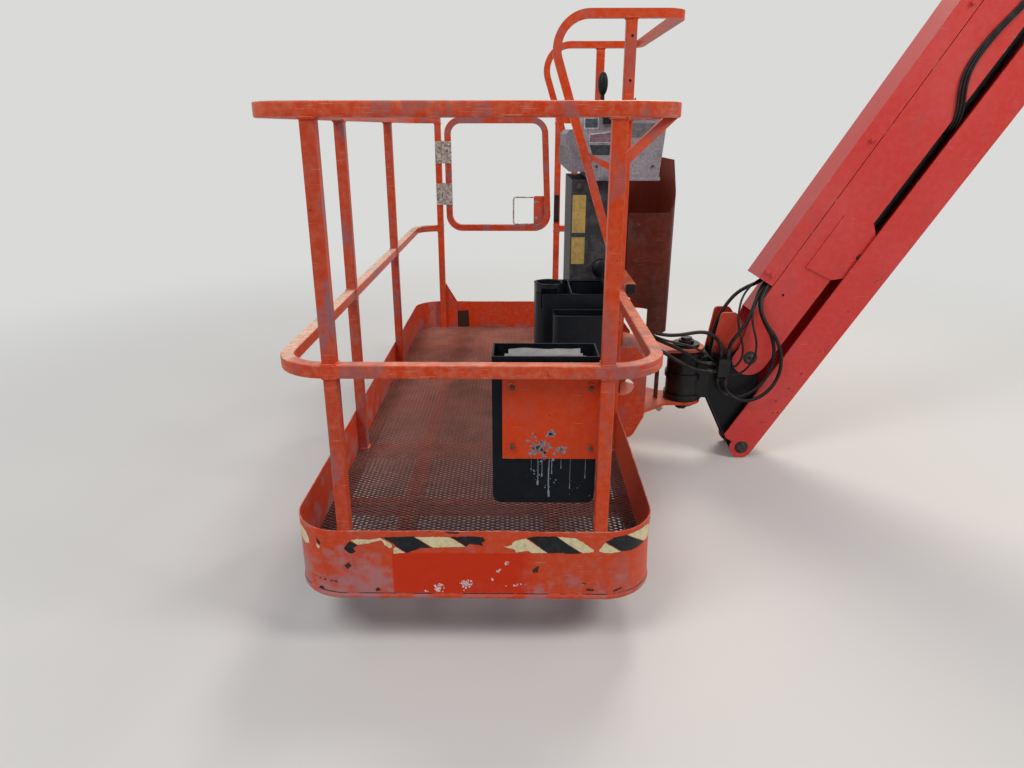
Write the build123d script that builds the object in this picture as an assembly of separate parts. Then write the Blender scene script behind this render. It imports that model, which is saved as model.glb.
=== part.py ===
from build123d import *
from math import cos, radians, sin, tan
import os

# Work platform of a telescopic boom lift, with its rotator and its jib, as it
# hangs on the pin in the nose of the boom. Sizes are in millimetres.
# The part is laid out from the middle of the platform's near end, at the foot
# of the toe board: X towards the boom, Y along the platform, Z up. At the end
# each piece is moved so that the boom pin is the origin.

# driving sizes of the platform
platform_width = 910
platform_length = 2440
corner_radius = 130
toe_height = 193
toe_sheet = 3
toe_foot_flange = 28
floor_level = 45
mesh_sheet = 3
tube = 32
tube_corner = 4
rail_top = 1166
mid_rail_top = 616
end_post_inset = 142
side_post_spacing = 840

# driving sizes of the guard over the controls
guard_tube = 25
guard_top = 1438
guard_inner_inset = 269
guard_overhang = 131
guard_foot_level = 690
guard_bend = 95
guard_corner = 55

# driving sizes of the gate
gate_gap = 14
gate_bend = 85
gate_lean = 26
hinge_levels = (780, 992)
hinge_height = 110
hinge_leaf = 5
knuckle_radius = 8
hinge_pin_radius = 4
pin_clearance = 0.05

# driving sizes of the jib
jib_length = 1830
jib_spacing = 372
jib_angle = 59
arm_width = 140
arm_wall = 6
arm_below = 70
arm_above = 98
cover_height = 67
cover_sheet = 3
cover_gap = 3
cover_start = 268
level_arm_width = 176
level_arm_plate = 7
level_arm_below = 46
level_arm_above = 90
link_gap = 88
link_plate = 12
jib_pin_radius = 20
front_pivot_from_rotator = 236
front_pivot_z = -100

# driving sizes of the lift cylinder
cylinder_offset = 105
cylinder_foot = 518
barrel_radius = 27
barrel_end_from_rear = 290
rod_radius = 16
rod_eye_from_rear = 221.7
eye_radius = 27
eye_pin_radius = 12.5

# driving sizes of the rotator and of the bracket that carries the platform
rotator_from_bracket = 190
rotator_radius = 75
rotator_foot = 90
rotator_height = 195
rotator_gap = 5
tongue_plate = 12
tongue_end_radius = 70
shaft_radius = 30
bracket_half_width = 220
bracket_plate = 10
bracket_depth = 130
bracket_top = 360

# driving sizes of the boom mount
boom_pin_from_arm_pin = (190, -120)
boom_pin_bore = 25
boom_boss_radius = 46
level_pin_from_arm_pin = (150, -330)
level_pin_bore = 16

# places worked out from the driving sizes
half_width = platform_width / 2
bracket_reach = half_width + bracket_depth
rotator_x = bracket_reach + rotator_from_bracket
front_pivot_x = rotator_x + front_pivot_from_rotator
guard_inner_x = half_width - guard_inner_inset
guard_outer_x = half_width + guard_overhang
barrel_end = jib_length - barrel_end_from_rear
rod_eye_at = jib_length - rod_eye_from_rear
middle_y = platform_length / 2
half_tube = tube / 2
rail_x = half_width - half_tube
rail_near_y = half_tube
rail_far_y = platform_length - half_tube
post_x = half_width - toe_sheet - half_tube
post_near_y = toe_sheet + half_tube
post_far_y = platform_length - post_near_y
end_post_x = half_width - end_post_inset
side_post_ys = (middle_y - side_post_spacing / 2, middle_y + side_post_spacing / 2)
rail_bend = corner_radius - half_tube
rail_level = rail_top - half_tube
mid_rail_level = mid_rail_top - half_tube
front_top_pivot_z = front_pivot_z + jib_spacing
boom_dx = jib_length * cos(radians(jib_angle))
boom_dz = jib_length * sin(radians(jib_angle))
rear_pivot_x = front_pivot_x + boom_dx
rear_pivot_z = front_top_pivot_z + boom_dz
boom_pin_x = rear_pivot_x + boom_pin_from_arm_pin[0]
boom_pin_z = rear_pivot_z + boom_pin_from_arm_pin[1]
level_pin_x = rear_pivot_x + level_pin_from_arm_pin[0]
level_pin_z = rear_pivot_z + level_pin_from_arm_pin[1]

os.makedirs("parts", exist_ok=True)


def save(name, shape):
    """Write one piece with the boom pin as the origin."""
    moved = Pos(-boom_pin_x, -middle_y, -boom_pin_z) * shape
    export_step(moved, f"parts/{name}.step")


def block(low, high):
    """A box between its lowest and its highest corner."""
    size = [b - a for a, b in zip(low, high)]
    centre = [(a + b) / 2 for a, b in zip(low, high)]
    return Pos(*centre) * Box(*size)


def bent_tube(points, bend, size, corner):
    """A square tube along straight runs with bends of one radius."""
    path = FilletPolyline(*points, radius=bend)
    start = Plane(path @ 0, z_dir=path % 0)
    if corner:
        section = start * RectangleRounded(size, size, corner)
    else:
        section = start * Rectangle(size, size)
    return sweep(section, path)


def upright(x, y, low, high, size=tube):
    """A vertical square tube."""
    section = RectangleRounded(size, size, tube_corner)
    return Pos(x, y, low) * extrude(section, high - low)


def along_y(x, z, radius, low_y, high_y):
    """A round bar along Y."""
    length = high_y - low_y
    return Pos(x, (low_y + high_y) / 2, z) * Rot(90, 0, 0) * Cylinder(radius, length)


def bar(start, end, size):
    """A straight square bar between two points."""
    a = Vector(*start)
    b = Vector(*end)
    plane = Plane(a, x_dir=(0, 1, 0), z_dir=b - a)
    return extrude(plane * Rectangle(size, size), (b - a).length)


def link_sheet(places, thickness):
    """A flat plate round circles given as x, z, radius, lying in the plane Y = 0."""
    rims = [edge for x, z, r in places for edge in (Pos(x, z) * Circle(r)).edges()]
    face = make_hull(rims)
    return Plane.XZ.location * extrude(face, thickness / 2, both=True)


# Toe board: one sheet bent round the platform, with a flange turned in under the floor
outer = RectangleRounded(platform_width, platform_length, corner_radius)
inner = RectangleRounded(
    platform_width - 2 * toe_sheet, platform_length - 2 * toe_sheet, corner_radius - toe_sheet
)
flange_hole = RectangleRounded(
    platform_width - 2 * toe_foot_flange,
    platform_length - 2 * toe_foot_flange,
    corner_radius - toe_foot_flange,
)
toe_wall = extrude(outer, toe_height) - extrude(inner, toe_height)
toe_foot = extrude(outer, toe_sheet) - extrude(flange_hole, toe_sheet)
toe_board = toe_wall + toe_foot
save("toe_board", Pos(0, middle_y, 0) * toe_board)

# Floor frame: cross members and two runners under the expanded metal
cross_members = 7
member_width = 40
member_height = floor_level - mesh_sheet - toe_sheet
runner_x = 210
member_half = half_width - toe_sheet
frame_low = toe_sheet
floor_frame = None
for i in range(cross_members):
    y = post_near_y + i * (post_far_y - post_near_y) / (cross_members - 1)
    reach = member_half if 0 < i < cross_members - 1 else rail_x - corner_radius + half_tube
    member = block(
        (-reach, y - member_width / 2 + (0 if i else 4), frame_low),
        (reach, y + member_width / 2 - (0 if i < cross_members - 1 else 4), frame_low + member_height),
    )
    floor_frame = member if floor_frame is None else floor_frame + member
for side in (-1, 1):
    floor_frame += block(
        (side * runner_x - member_width / 2, post_near_y, frame_low),
        (side * runner_x + member_width / 2, post_far_y, frame_low + member_height),
    )
inside = Pos(0, middle_y, 0) * extrude(inner, toe_height)
floor_frame = floor_frame & inside
save("floor_frame", floor_frame)

# Floor: expanded metal, here as a sheet with a plain grid of openings
mesh_clearance = 0.3
mesh_margin = 52
mesh_land = 22
mesh_columns = 5
mesh_rows = 12
floor_outline = RectangleRounded(
    platform_width - 2 * toe_sheet - 2 * mesh_clearance,
    platform_length - 2 * toe_sheet - 2 * mesh_clearance,
    corner_radius - toe_sheet - mesh_clearance,
)
mesh_pitch_x = (platform_width - 2 * mesh_margin + mesh_land) / mesh_columns
mesh_pitch_y = (platform_length - 2 * mesh_margin + mesh_land) / mesh_rows
mesh_opening = Rectangle(mesh_pitch_x - mesh_land, mesh_pitch_y - mesh_land)
floor_outline -= GridLocations(mesh_pitch_x, mesh_pitch_y, mesh_columns, mesh_rows) * mesh_opening
floor_sheet = Pos(0, middle_y, floor_level - mesh_sheet) * extrude(floor_outline, mesh_sheet)
save("floor_mesh", floor_sheet)

# Rails: round tube bends between straight runs, open for the gate and for the controls
tall_post_y_near, tall_post_y_far = side_post_ys
rail_end_near = tall_post_y_near - half_tube
rail_end_far = tall_post_y_far + half_tube
gate_rail_end = end_post_x - half_tube


def long_rail(level):
    points = [
        (rail_x, rail_end_near, level),
        (rail_x, rail_near_y, level),
        (-rail_x, rail_near_y, level),
        (-rail_x, rail_far_y, level),
        (-gate_rail_end, rail_far_y, level),
    ]
    return bent_tube(points, rail_bend, tube, tube_corner)


def short_rail(level):
    points = [
        (gate_rail_end, rail_far_y, level),
        (rail_x, rail_far_y, level),
        (rail_x, rail_end_far, level),
    ]
    return bent_tube(points, rail_bend, tube, tube_corner)


top_rail = long_rail(rail_level)
mid_rail = long_rail(mid_rail_level)
top_rail_far = short_rail(rail_level)
mid_rail_far = short_rail(mid_rail_level)
save("top_rail", top_rail)
save("mid_rail", mid_rail)
save("top_rail_far_right", top_rail_far)
save("mid_rail_far_right", mid_rail_far)

# Posts under the rails: name, x, y, the mid rail that each one is let into
rail_foot = rail_top - tube
post_table = [
    ("post_near_left", -end_post_x, post_near_y, mid_rail),
    ("post_near_right", end_post_x, post_near_y, mid_rail),
    ("post_left_near", -post_x, side_post_ys[0], mid_rail),
    ("post_left_far", -post_x, side_post_ys[1], mid_rail),
    ("gate_hinge_post", -end_post_x, post_far_y, mid_rail),
    ("gate_latch_post", end_post_x, post_far_y, mid_rail_far),
]
for name, x, y, rail in post_table:
    save(name, upright(x, y, floor_level, rail_foot) - rail)

# Tall posts beside the controls, up to the guard
guard_level = guard_top - guard_tube / 2
guard_foot = guard_top - guard_tube
tall_posts = {}
for name, y in (("guard_post_near", tall_post_y_near), ("guard_post_far", tall_post_y_far)):
    tall_posts[name] = upright(post_x, y, floor_level, guard_foot)
    save(name, tall_posts[name])

# Guard hoop: a D at each tall post, joined along the outside over the controls
d_foot = (post_x - half_tube - 1, guard_foot_level)
d_knee = (guard_inner_x, guard_level)
corner_start_x = guard_outer_x - guard_corner
hoop = None
for y in side_post_ys:
    side_points = [
        (d_foot[0] + 12, y, d_foot[1] - 24),
        (d_knee[0], y, d_knee[1]),
        (corner_start_x, y, d_knee[1]),
    ]
    side_bend = bent_tube(side_points, guard_bend, guard_tube, 0)
    side_bend = side_bend - upright(post_x, y, floor_level, guard_foot)
    hoop = side_bend if hoop is None else hoop + side_bend
plan_points = [
    (corner_start_x, tall_post_y_near, guard_level),
    (guard_outer_x, tall_post_y_near, guard_level),
    (guard_outer_x, tall_post_y_far, guard_level),
    (corner_start_x, tall_post_y_far, guard_level),
]
hoop += bent_tube(plan_points, guard_corner - 1, guard_tube, 0)
save("guard_hoop", hoop)

# Stay across the near D, and the brace under the corner of the top rail
stay_size = 18
stay_drop = 62
slope = (guard_level - guard_foot_level) / (guard_inner_x - d_foot[0])
stay_level = 1040
stay_x = d_foot[0] + (stay_level - guard_foot_level) / slope
stay_low = (post_x, tall_post_y_near, stay_level - stay_drop)
stay = bar((stay_x, tall_post_y_near, stay_level), stay_low, stay_size)
stay = stay - tall_posts["guard_post_near"] - hoop
save("guard_stay", stay.solids().sort_by(SortBy.VOLUME)[-1])
brace_size = 20
brace_drop = 94
brace_along = 92
brace_low = (end_post_x, post_near_y, rail_foot - brace_drop)
brace_high = (rail_x - half_tube / 2, brace_along, rail_foot + 4)
brace = bar(brace_low, brace_high, brace_size) - top_rail
brace -= upright(end_post_x, post_near_y, 0, rail_foot)
save("rail_brace", brace.solids().sort_by(SortBy.VOLUME)[-1])

# Gusset at the foot of the hinge post
gusset_height = 105
gusset_width = 62
gusset_sheet = 5
gusset_x = -end_post_x + half_tube
gusset_outline = Polyline(
    (gusset_x, toe_height), (gusset_x + gusset_width, toe_height),
    (gusset_x, toe_height + gusset_height), close=True,
)
gusset_face = Plane.XZ.location * make_face(gusset_outline)
gusset = Pos(0, post_far_y + half_tube - gusset_sheet, 0) * extrude(gusset_face, -gusset_sheet)
gusset += block(
    (gusset_x, post_far_y + half_tube - gusset_sheet, floor_level),
    (gusset_x + gusset_width, post_far_y + half_tube, toe_height),
)
save("gate_gusset", gusset)

# Gate: a bent tube loop that leans in at the top on the latch side
gate_y = post_far_y
gate_top = rail_top - half_tube
gate_bottom = mid_rail_top - half_tube + 4
gate_left = -end_post_x + half_tube + 19 + half_tube
gate_right = end_post_x - half_tube - gate_gap - half_tube
gate_outline = make_face(
    Polyline(
        (gate_left - half_tube, gate_bottom - half_tube),
        (gate_right + half_tube, gate_bottom - half_tube),
        (gate_right - gate_lean + half_tube, gate_top + half_tube),
        (gate_left - half_tube, gate_top + half_tube),
        close=True,
    )
)
gate_outline = fillet(gate_outline.vertices(), gate_bend)
gate_hollow = offset(gate_outline, -tube)
gate_frame = Plane.XZ.location * extrude(gate_outline - gate_hollow, half_tube, both=True)
gate_frame = Pos(0, gate_y, 0) * gate_frame
save("gate_frame", gate_frame)

# Latch plate in the gate's lower corner, the pull rod and the catch on the post
latch_plate_sheet = 4
latch_plate_height = 150
latch_plate_width = 62
latch_plate = block(
    (gate_right - half_tube - latch_plate_width, gate_y - latch_plate_sheet / 2, gate_bottom),
    (gate_right, gate_y + latch_plate_sheet / 2, gate_bottom + half_tube + latch_plate_height),
) - gate_frame
latch_plate = latch_plate.solids().sort_by(SortBy.VOLUME)[-1]
save("gate_latch_plate", latch_plate)
rod_thickness = 8
pull_left = gate_right - half_tube - latch_plate_width - 108
pull_low = gate_bottom + half_tube + rod_thickness / 2
pull_high = pull_low + latch_plate_height - 10
pull_end_x = gate_right - half_tube - latch_plate_width + 4
pull_y = gate_y - latch_plate_sheet / 2 - rod_thickness / 2
pull_path = FilletPolyline(
    (pull_end_x, pull_y, pull_high), (pull_left, pull_y, pull_high),
    (pull_left, pull_y, pull_low), (pull_end_x, pull_y, pull_low),
    radius=14,
)
pull_section = Plane(pull_path @ 0, z_dir=pull_path % 0) * Circle(rod_thickness / 2)
save("gate_pull_rod", sweep(pull_section, pull_path))
catch_low = gate_bottom + 34
catch = block(
    (end_post_x - half_tube, gate_y - half_tube - 10, catch_low),
    (end_post_x + half_tube - 6, gate_y - half_tube, catch_low + 138),
)
save("gate_catch", catch)

# Gate hinges: leaves on the inner faces, with knuckles between post and gate
hinge_y = gate_y - half_tube - hinge_leaf
hinge_x = -end_post_x + half_tube + 9.5
post_leaves = []
gate_leaves = []
hinge_pins = []
third = hinge_height / 3
for level in hinge_levels:
    low = level - hinge_height / 2
    leaf_top = low + hinge_height
    leaf_far = hinge_y + hinge_leaf
    post_leaf = block((-end_post_x - half_tube + 2, hinge_y, low), (hinge_x, leaf_far, leaf_top))
    gate_leaf = block((hinge_x, hinge_y, low), (gate_left + half_tube + 2, leaf_far, leaf_top))
    rim = Pos(hinge_x, hinge_y + 1, level) * Cylinder(knuckle_radius + 1, hinge_height)
    bore = Pos(hinge_x, hinge_y + 1, level) * Cylinder(hinge_pin_radius + pin_clearance, hinge_height)
    post_knuckle = None
    for start, piece in ((low, "post"), (low + third, "gate"), (low + 2 * third, "post")):
        tube_piece = Pos(hinge_x, hinge_y + 1, start + third / 2) * Cylinder(knuckle_radius, third - 1)
        if piece == "gate":
            gate_knuckle = tube_piece
        elif post_knuckle is None:
            post_knuckle = tube_piece
        else:
            post_knuckle += tube_piece
    middle_low = low + third
    middle_high = low + 2 * third
    middle_band = block((hinge_x - 30, hinge_y - 9, middle_low), (hinge_x + 30, hinge_y + 12, middle_high))
    post_tab = block((hinge_x - 12, hinge_y, low), (hinge_x, leaf_far, leaf_top)) - middle_band
    gate_tab = block((hinge_x, hinge_y, middle_low + 0.5), (hinge_x + 12, leaf_far, middle_high - 0.5))
    post_side = (post_leaf - rim) + post_tab + post_knuckle
    gate_side = (gate_leaf - rim) + gate_tab + gate_knuckle
    post_leaves.append(post_side - bore)
    gate_leaves.append(gate_side - bore)
    pin = Pos(hinge_x, hinge_y + 1, level) * Cylinder(hinge_pin_radius, hinge_height)
    pin += Pos(hinge_x, hinge_y + 1, level + hinge_height / 2 + 2) * Cylinder(hinge_pin_radius + 2, 4)
    hinge_pins.append(pin)
save("gate_hinge_post_leaves", Compound(children=post_leaves))
save("gate_hinge_gate_leaves", Compound(children=gate_leaves))
save("gate_hinge_pins", Compound(children=hinge_pins))

# Document box behind the near rail, with the plate that it is bolted to
box_width = 246
box_right = end_post_x - half_tube - 1
box_left = box_right - box_width
box_low = 252
box_high = 626
box_depth = 108
box_wall = 4
box_near = tube + 8
box_corner = 22
box_outline = Rectangle(box_right - box_left, box_high - box_low)
box_outline = fillet(box_outline.vertices().group_by(Axis.Y)[0], box_corner)
box_place = Pos((box_left + box_right) / 2, 0, (box_low + box_high) / 2)
box_body = extrude(Plane.XZ.location * box_outline, -box_depth)
pocket_outline = Rectangle(box_right - box_left - 2 * box_wall, box_high - box_low - box_wall)
pocket_outline = fillet(pocket_outline.vertices().group_by(Axis.Y)[0], box_corner - box_wall)
pocket = Pos(0, box_wall, box_wall / 2) * extrude(
    Plane.XZ.location * pocket_outline, -(box_depth - 2 * box_wall)
)
document_box = Pos(0, box_near, 0) * box_place * (box_body - pocket)
save("document_box", document_box)
plate_inset = 24
plate_left = box_left + plate_inset
plate_low = 374
plate_sheet = 3
plate_high = mid_rail_top - tube
box_plate = block(
    (plate_left, box_near - 5 - plate_sheet, plate_low), (box_right + 1, box_near - 5, plate_high + 20)
)
box_plate = box_plate - mid_rail
bolt_places = [
    (x, z) for x in (plate_left + 22, box_right - 18) for z in (plate_low + 30, plate_high - 24)
]
for x, z in bolt_places:
    box_plate += along_y(x, z, 9, box_near - 5, box_near)
    box_plate += along_y(x, z, 7, box_near - 5 - plate_sheet - 4, box_near - 5 - plate_sheet)
save("document_box_plate", box_plate)

# Support rail on the outside of the tall posts: it carries the controls
support_plate = 6
support_x = half_width - toe_sheet + support_plate + half_tube
support_level = 622
support_rail = block(
    (support_x - half_tube, rail_end_near, support_level - half_tube),
    (support_x + half_tube, rail_end_far, support_level + half_tube),
)
for y in side_post_ys:
    support_rail += block(
        (half_width - toe_sheet, y - half_tube, support_level - half_tube),
        (half_width - toe_sheet + support_plate, y + half_tube, support_level + half_tube),
    )
save("support_rail", support_rail)

# Bracket on the platform's side: back plate, risers and two rounded side plates
bracket_low = 0
bracket = block(
    (half_width, middle_y - bracket_half_width - 30, toe_sheet),
    (half_width + bracket_plate, middle_y + bracket_half_width + 30, bracket_top),
)
riser_y = bracket_half_width - 60
for side in (-1, 1):
    y = middle_y + side * riser_y
    bracket += block(
        (half_width + bracket_plate, y - half_tube, bracket_low + 30),
        (half_width + bracket_plate + tube, y + half_tube, support_level - half_tube),
    )
bracket_face = half_width + bracket_plate
side_plate_depth = bracket_reach - bracket_face
bevel_x = bracket_face + 0.625 * side_plate_depth
hole_radius = 0.28 * side_plate_depth
hole_x = bracket_face + 0.36 * side_plate_depth
hole_z = 0.57 * bracket_top
side_plate_bend = 0.3 * side_plate_depth
side_plate_face = make_face(
    Polyline(
        (bracket_face, bracket_low), (bevel_x, bracket_low), (bracket_reach, bracket_top / 4),
        (bracket_reach, bracket_top * 5 / 6), (bevel_x, bracket_top), (bracket_face, bracket_top),
        close=True,
    )
)
lower_corners = [
    v for v in side_plate_face.vertices() if v.Y < bracket_top * 0.3 and v.X > bracket_face + 1
]
side_plate_face = fillet(lower_corners, side_plate_bend)
side_plate_face -= Pos(hole_x, hole_z) * Circle(hole_radius)
for side in (-1, 1):
    y = middle_y + side * bracket_half_width - (bracket_plate / 2)
    bracket += Pos(0, y, 0) * extrude(Plane.XZ.location * side_plate_face, -bracket_plate)
save("platform_bracket", bracket)

# Tongues that hold the rotator's shaft at its foot and at its head
tongue_low_z = rotator_foot - rotator_gap - tongue_plate
tongue_high_z = rotator_foot + rotator_height + rotator_gap
tongue_wide_x = bracket_reach - 60
tongue_straight = 80
tongue_points = [
    (half_width + bracket_plate, middle_y - bracket_half_width + bracket_plate / 2),
    (tongue_wide_x, middle_y - bracket_half_width + bracket_plate / 2),
    (rotator_x - tongue_straight, middle_y - tongue_end_radius),
    (rotator_x, middle_y - tongue_end_radius),
    (rotator_x, middle_y + tongue_end_radius),
    (rotator_x - tongue_straight, middle_y + tongue_end_radius),
    (tongue_wide_x, middle_y + bracket_half_width - bracket_plate / 2),
    (half_width + bracket_plate, middle_y + bracket_half_width - bracket_plate / 2),
]
tongue_face = make_face(Polyline(*tongue_points, close=True))
tongue_face += Pos(rotator_x, middle_y) * Circle(tongue_end_radius)
tongue_face -= Pos(rotator_x, middle_y) * Circle(shaft_radius)
for side in (-1, 1):
    y = middle_y + side * riser_y
    tongue_face -= Pos(half_width + bracket_plate + half_tube, y) * Rectangle(tube, tube)
save("lower_tongue", Pos(0, 0, tongue_low_z) * extrude(tongue_face, tongue_plate))
save("upper_tongue", Pos(0, 0, tongue_high_z) * extrude(tongue_face, tongue_plate))

# Shaft with its washers and nuts, and the strut between the tongues
shaft_low = tongue_low_z - 24
shaft_high = tongue_high_z + tongue_plate + 24
shaft_length = shaft_high - shaft_low
shaft = Cylinder(shaft_radius, shaft_length)
shaft = Pos(rotator_x, middle_y, (shaft_low + shaft_high) / 2) * shaft
for z in (tongue_low_z - 12, tongue_high_z + tongue_plate):
    shaft += Pos(rotator_x, middle_y, z + 6) * Cylinder(52, 12)
for z in (shaft_low - 10, shaft_high):
    shaft += Pos(rotator_x, middle_y, z) * extrude(RegularPolygon(22, 6), 10)
save("rotator_shaft", shaft)
strut_x = rotator_x - 107
strut = block(
    (strut_x - 5, middle_y - 18, tongue_low_z + tongue_plate), (strut_x + 5, middle_y + 18, tongue_high_z)
)
save("tongue_strut", strut)

# Rotator housing: ribbed body with feet, bolted to the front link
housing_mid = rotator_foot + rotator_height / 2
housing = Pos(rotator_x, middle_y, housing_mid) * Cylinder(rotator_radius - 6, rotator_height)
for z in (rotator_foot + 11, housing_mid, rotator_foot + rotator_height - 11):
    housing += Pos(rotator_x, middle_y, z) * Cylinder(rotator_radius, 22)
link_near_x = rotator_x + rotator_radius + 12
housing += block(
    (rotator_x, middle_y - link_gap / 2 - link_plate, rotator_foot + 12),
    (link_near_x, middle_y + link_gap / 2 + link_plate, rotator_foot + rotator_height - 12),
)
housing -= Pos(rotator_x, middle_y, housing_mid) * Cylinder(shaft_radius + pin_clearance, rotator_height)
save("rotator_housing", housing)

# Front link: two plates from the rotator to both arms of the jib
link_table = [
    (front_pivot_x, front_top_pivot_z, 50),
    (front_pivot_x, front_pivot_z, 42),
    (link_near_x + 8, rotator_foot + 18, 8),
    (link_near_x + 8, rotator_foot + rotator_height - 10, 8),
    (link_near_x + 40, front_top_pivot_z + 160, 16),
    (link_near_x + 75, front_top_pivot_z + 160, 16),
]
plate_shift = link_gap / 2 + link_plate / 2
link_body = link_sheet(link_table, link_plate)
link_holes = along_y(front_pivot_x, front_top_pivot_z, jib_pin_radius + pin_clearance, -20, 20)
link_holes += along_y(front_pivot_x, front_pivot_z, jib_pin_radius + pin_clearance, -20, 20)
link_body -= link_holes
front_link = None
for side in (-1, 1):
    plate = Pos(0, middle_y + side * plate_shift, 0) * link_body
    front_link = plate if front_link is None else front_link + plate
web_top = rotator_foot + rotator_height - 23
web_low = block(
    (link_near_x, middle_y - link_gap / 2, rotator_foot + 20),
    (link_near_x + 14, middle_y + link_gap / 2, web_top),
)
web_high_z = front_top_pivot_z + 123
web_high = block(
    (link_near_x + 38, middle_y - link_gap / 2, web_high_z),
    (link_near_x + 78, middle_y + link_gap / 2, web_high_z + 14),
)
front_link += web_low + web_high
save("front_link", front_link)

# Valve block on the near side of the front link, with ports for the hoses
valve_depth = 56
valve_near = middle_y - link_gap / 2 - link_plate - valve_depth
valve_left = link_near_x + 16
valve_right = front_pivot_x - 83
valve_foot = front_top_pivot_z - 64
valve_top = front_top_pivot_z + 6
valve_height = valve_top - valve_foot
valve = block(
    (valve_left, valve_near, valve_foot), (valve_right, valve_near + valve_depth, valve_top)
)
valve = chamfer(valve.edges().filter_by(Axis.Z), 3)
fitting_radius = 9
fitting_height = 14
port = extrude(RegularPolygon(fitting_radius, 6), fitting_height)
# ports: distance from the left, from the near side and from the foot, tilt, turn
valve_depth_z = valve_top - valve_foot
port_table = [
    (14, 26, valve_depth_z, 0),
    (38, 14, valve_depth_z, 0),
    (38, 14, 0, 180),
    (16, 36, 0, 180),
    (0, 30, 44, -90),
    (0, 16, 18, -90),
]
for dx, dy, dz, tilt in port_table:
    valve += Pos(valve_left + dx, valve_near + dy, valve_foot + dz) * Rot(0, tilt, 0) * port
save("valve_block", valve)

# Jib arms are drawn along the arm, from the front pivot to the rear pivot
arm_plane = Plane(
    origin=(front_pivot_x, middle_y, front_top_pivot_z),
    x_dir=(cos(radians(jib_angle)), 0, sin(radians(jib_angle))),
    z_dir=(0, -1, 0),
)
level_plane = Plane(
    origin=(front_pivot_x, middle_y, front_pivot_z),
    x_dir=(cos(radians(jib_angle)), 0, sin(radians(jib_angle))),
    z_dir=(0, -1, 0),
)


def arm_side(below, above, end_radius, holes):
    """Side plate of an arm: straight edges and a rounded end at each pivot."""
    low = -below
    face = make_face(Polyline((0, low), (jib_length, low), (jib_length, above), (0, above), close=True))
    face += Circle(end_radius) + Pos(jib_length, 0) * Circle(end_radius)
    for x, y, radius in holes:
        face -= Pos(x, y) * Circle(radius)
    return face


def place_pair(face, outer_half, plate):
    """Two like plates at both sides of an arm."""
    solid = extrude(face, plate)
    return [Pos(0, 0, outer_half - plate) * solid, Pos(0, 0, -outer_half) * solid]


pivot_bore = jib_pin_radius + pin_clearance
top_start = 150
arm_half = arm_width / 2
arm_face = arm_side(arm_below, arm_above, arm_below, [(0, 0, pivot_bore), (jib_length, 0, pivot_bore)])
top_end = jib_length - 90
shoulder = 60
cut_past = 2 * arm_below
nose_cut = make_face(
    Polyline(
        (-cut_past, shoulder), (10, shoulder), (top_start, arm_above + 1),
        (top_start, arm_above + cut_past), (-cut_past, arm_above + cut_past), close=True,
    )
)
tail_cut = make_face(
    Polyline(
        (jib_length + cut_past, shoulder), (jib_length - 10, shoulder), (top_end, arm_above + 1),
        (top_end, arm_above + cut_past), (jib_length + cut_past, arm_above + cut_past), close=True,
    )
)
arm_face = arm_face - nose_cut - tail_cut
front_slot = 360
rear_slot = 300
arm_sides = place_pair(arm_face, arm_half, arm_wall)
upper_arm = arm_sides[0] + arm_sides[1]
web_half = arm_half - arm_wall
upper_arm += block(
    (front_slot, -arm_below, -web_half), (jib_length - rear_slot, -arm_below + arm_wall, web_half)
)
upper_arm += block((top_start, arm_above - arm_wall, -web_half), (top_end, arm_above, web_half))
# tabs that carry the hose cover
tab_half = arm_half - cover_sheet
tab_height = cover_gap + 12
for x in (cover_start + 120, jib_length / 2, jib_length - 190):
    upper_arm += block((x - 25, arm_above, -tab_half), (x + 25, arm_above + tab_height, tab_half))
save("upper_arm", arm_plane.location * upper_arm)

# Hose cover: a sheet channel over the top of the upper arm
cover_low = arm_above + cover_gap
cover_high = arm_above + cover_height
cover_end = jib_length - 110
cover = block((cover_start, cover_low, -arm_half), (cover_end, cover_high, arm_half))
cover -= block(
    (cover_start - 1, cover_low - 1, -tab_half), (cover_end + 1, cover_high - cover_sheet, tab_half)
)
save("arm_cover", arm_plane.location * cover)

# Plates on the belly of the arm, for the foot of the lift cylinder
belly_rise = 40
belly_front = 129
belly_rear = 90
belly_foot = 72
belly_drop = cylinder_offset + 23
belly_points = [
    (cylinder_foot - belly_front, belly_rise), (cylinder_foot - belly_front + 11, -arm_below),
    (cylinder_foot - belly_foot, -belly_drop), (cylinder_foot + belly_foot, -belly_drop),
    (cylinder_foot + belly_rear + 32, -arm_below), (cylinder_foot + belly_rear, belly_rise),
]
belly_face = make_face(Polyline(*belly_points, close=True))
belly_face -= Pos(cylinder_foot, -cylinder_offset) * Circle(eye_pin_radius)
belly_plate = 5
belly = place_pair(belly_face, arm_half + belly_plate, belly_plate)
save("belly_plates", arm_plane.location * Compound(children=belly))

# Lower arm: a channel, open towards the upper arm
level_half = level_arm_width / 2
level_face = arm_side(
    level_arm_below, level_arm_above, level_arm_below, [(0, 0, pivot_bore), (jib_length, 0, pivot_bore)]
)
level_shoulder = level_arm_below
level_cut = level_arm_above + cut_past
level_nose_cut = make_face(
    Polyline(
        (-cut_past, level_shoulder), (-20, level_shoulder), (12, level_arm_above + 1),
        (12, level_cut), (-cut_past, level_cut), close=True,
    )
)
level_tail_cut = make_face(
    Polyline(
        (jib_length + cut_past, level_shoulder), (jib_length + 20, level_shoulder),
        (jib_length - 12, level_arm_above + 1), (jib_length - 12, level_cut),
        (jib_length + cut_past, level_cut), close=True,
    )
)
level_face = level_face - level_nose_cut - level_tail_cut
level_sides = place_pair(level_face, level_half, level_arm_plate)
web_cut = 64
lower_arm = level_sides[0] + level_sides[1] + block(
    (web_cut, -level_arm_below, -level_half + level_arm_plate),
    (jib_length - web_cut, -level_arm_below + level_arm_plate, level_half - level_arm_plate),
)
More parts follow.
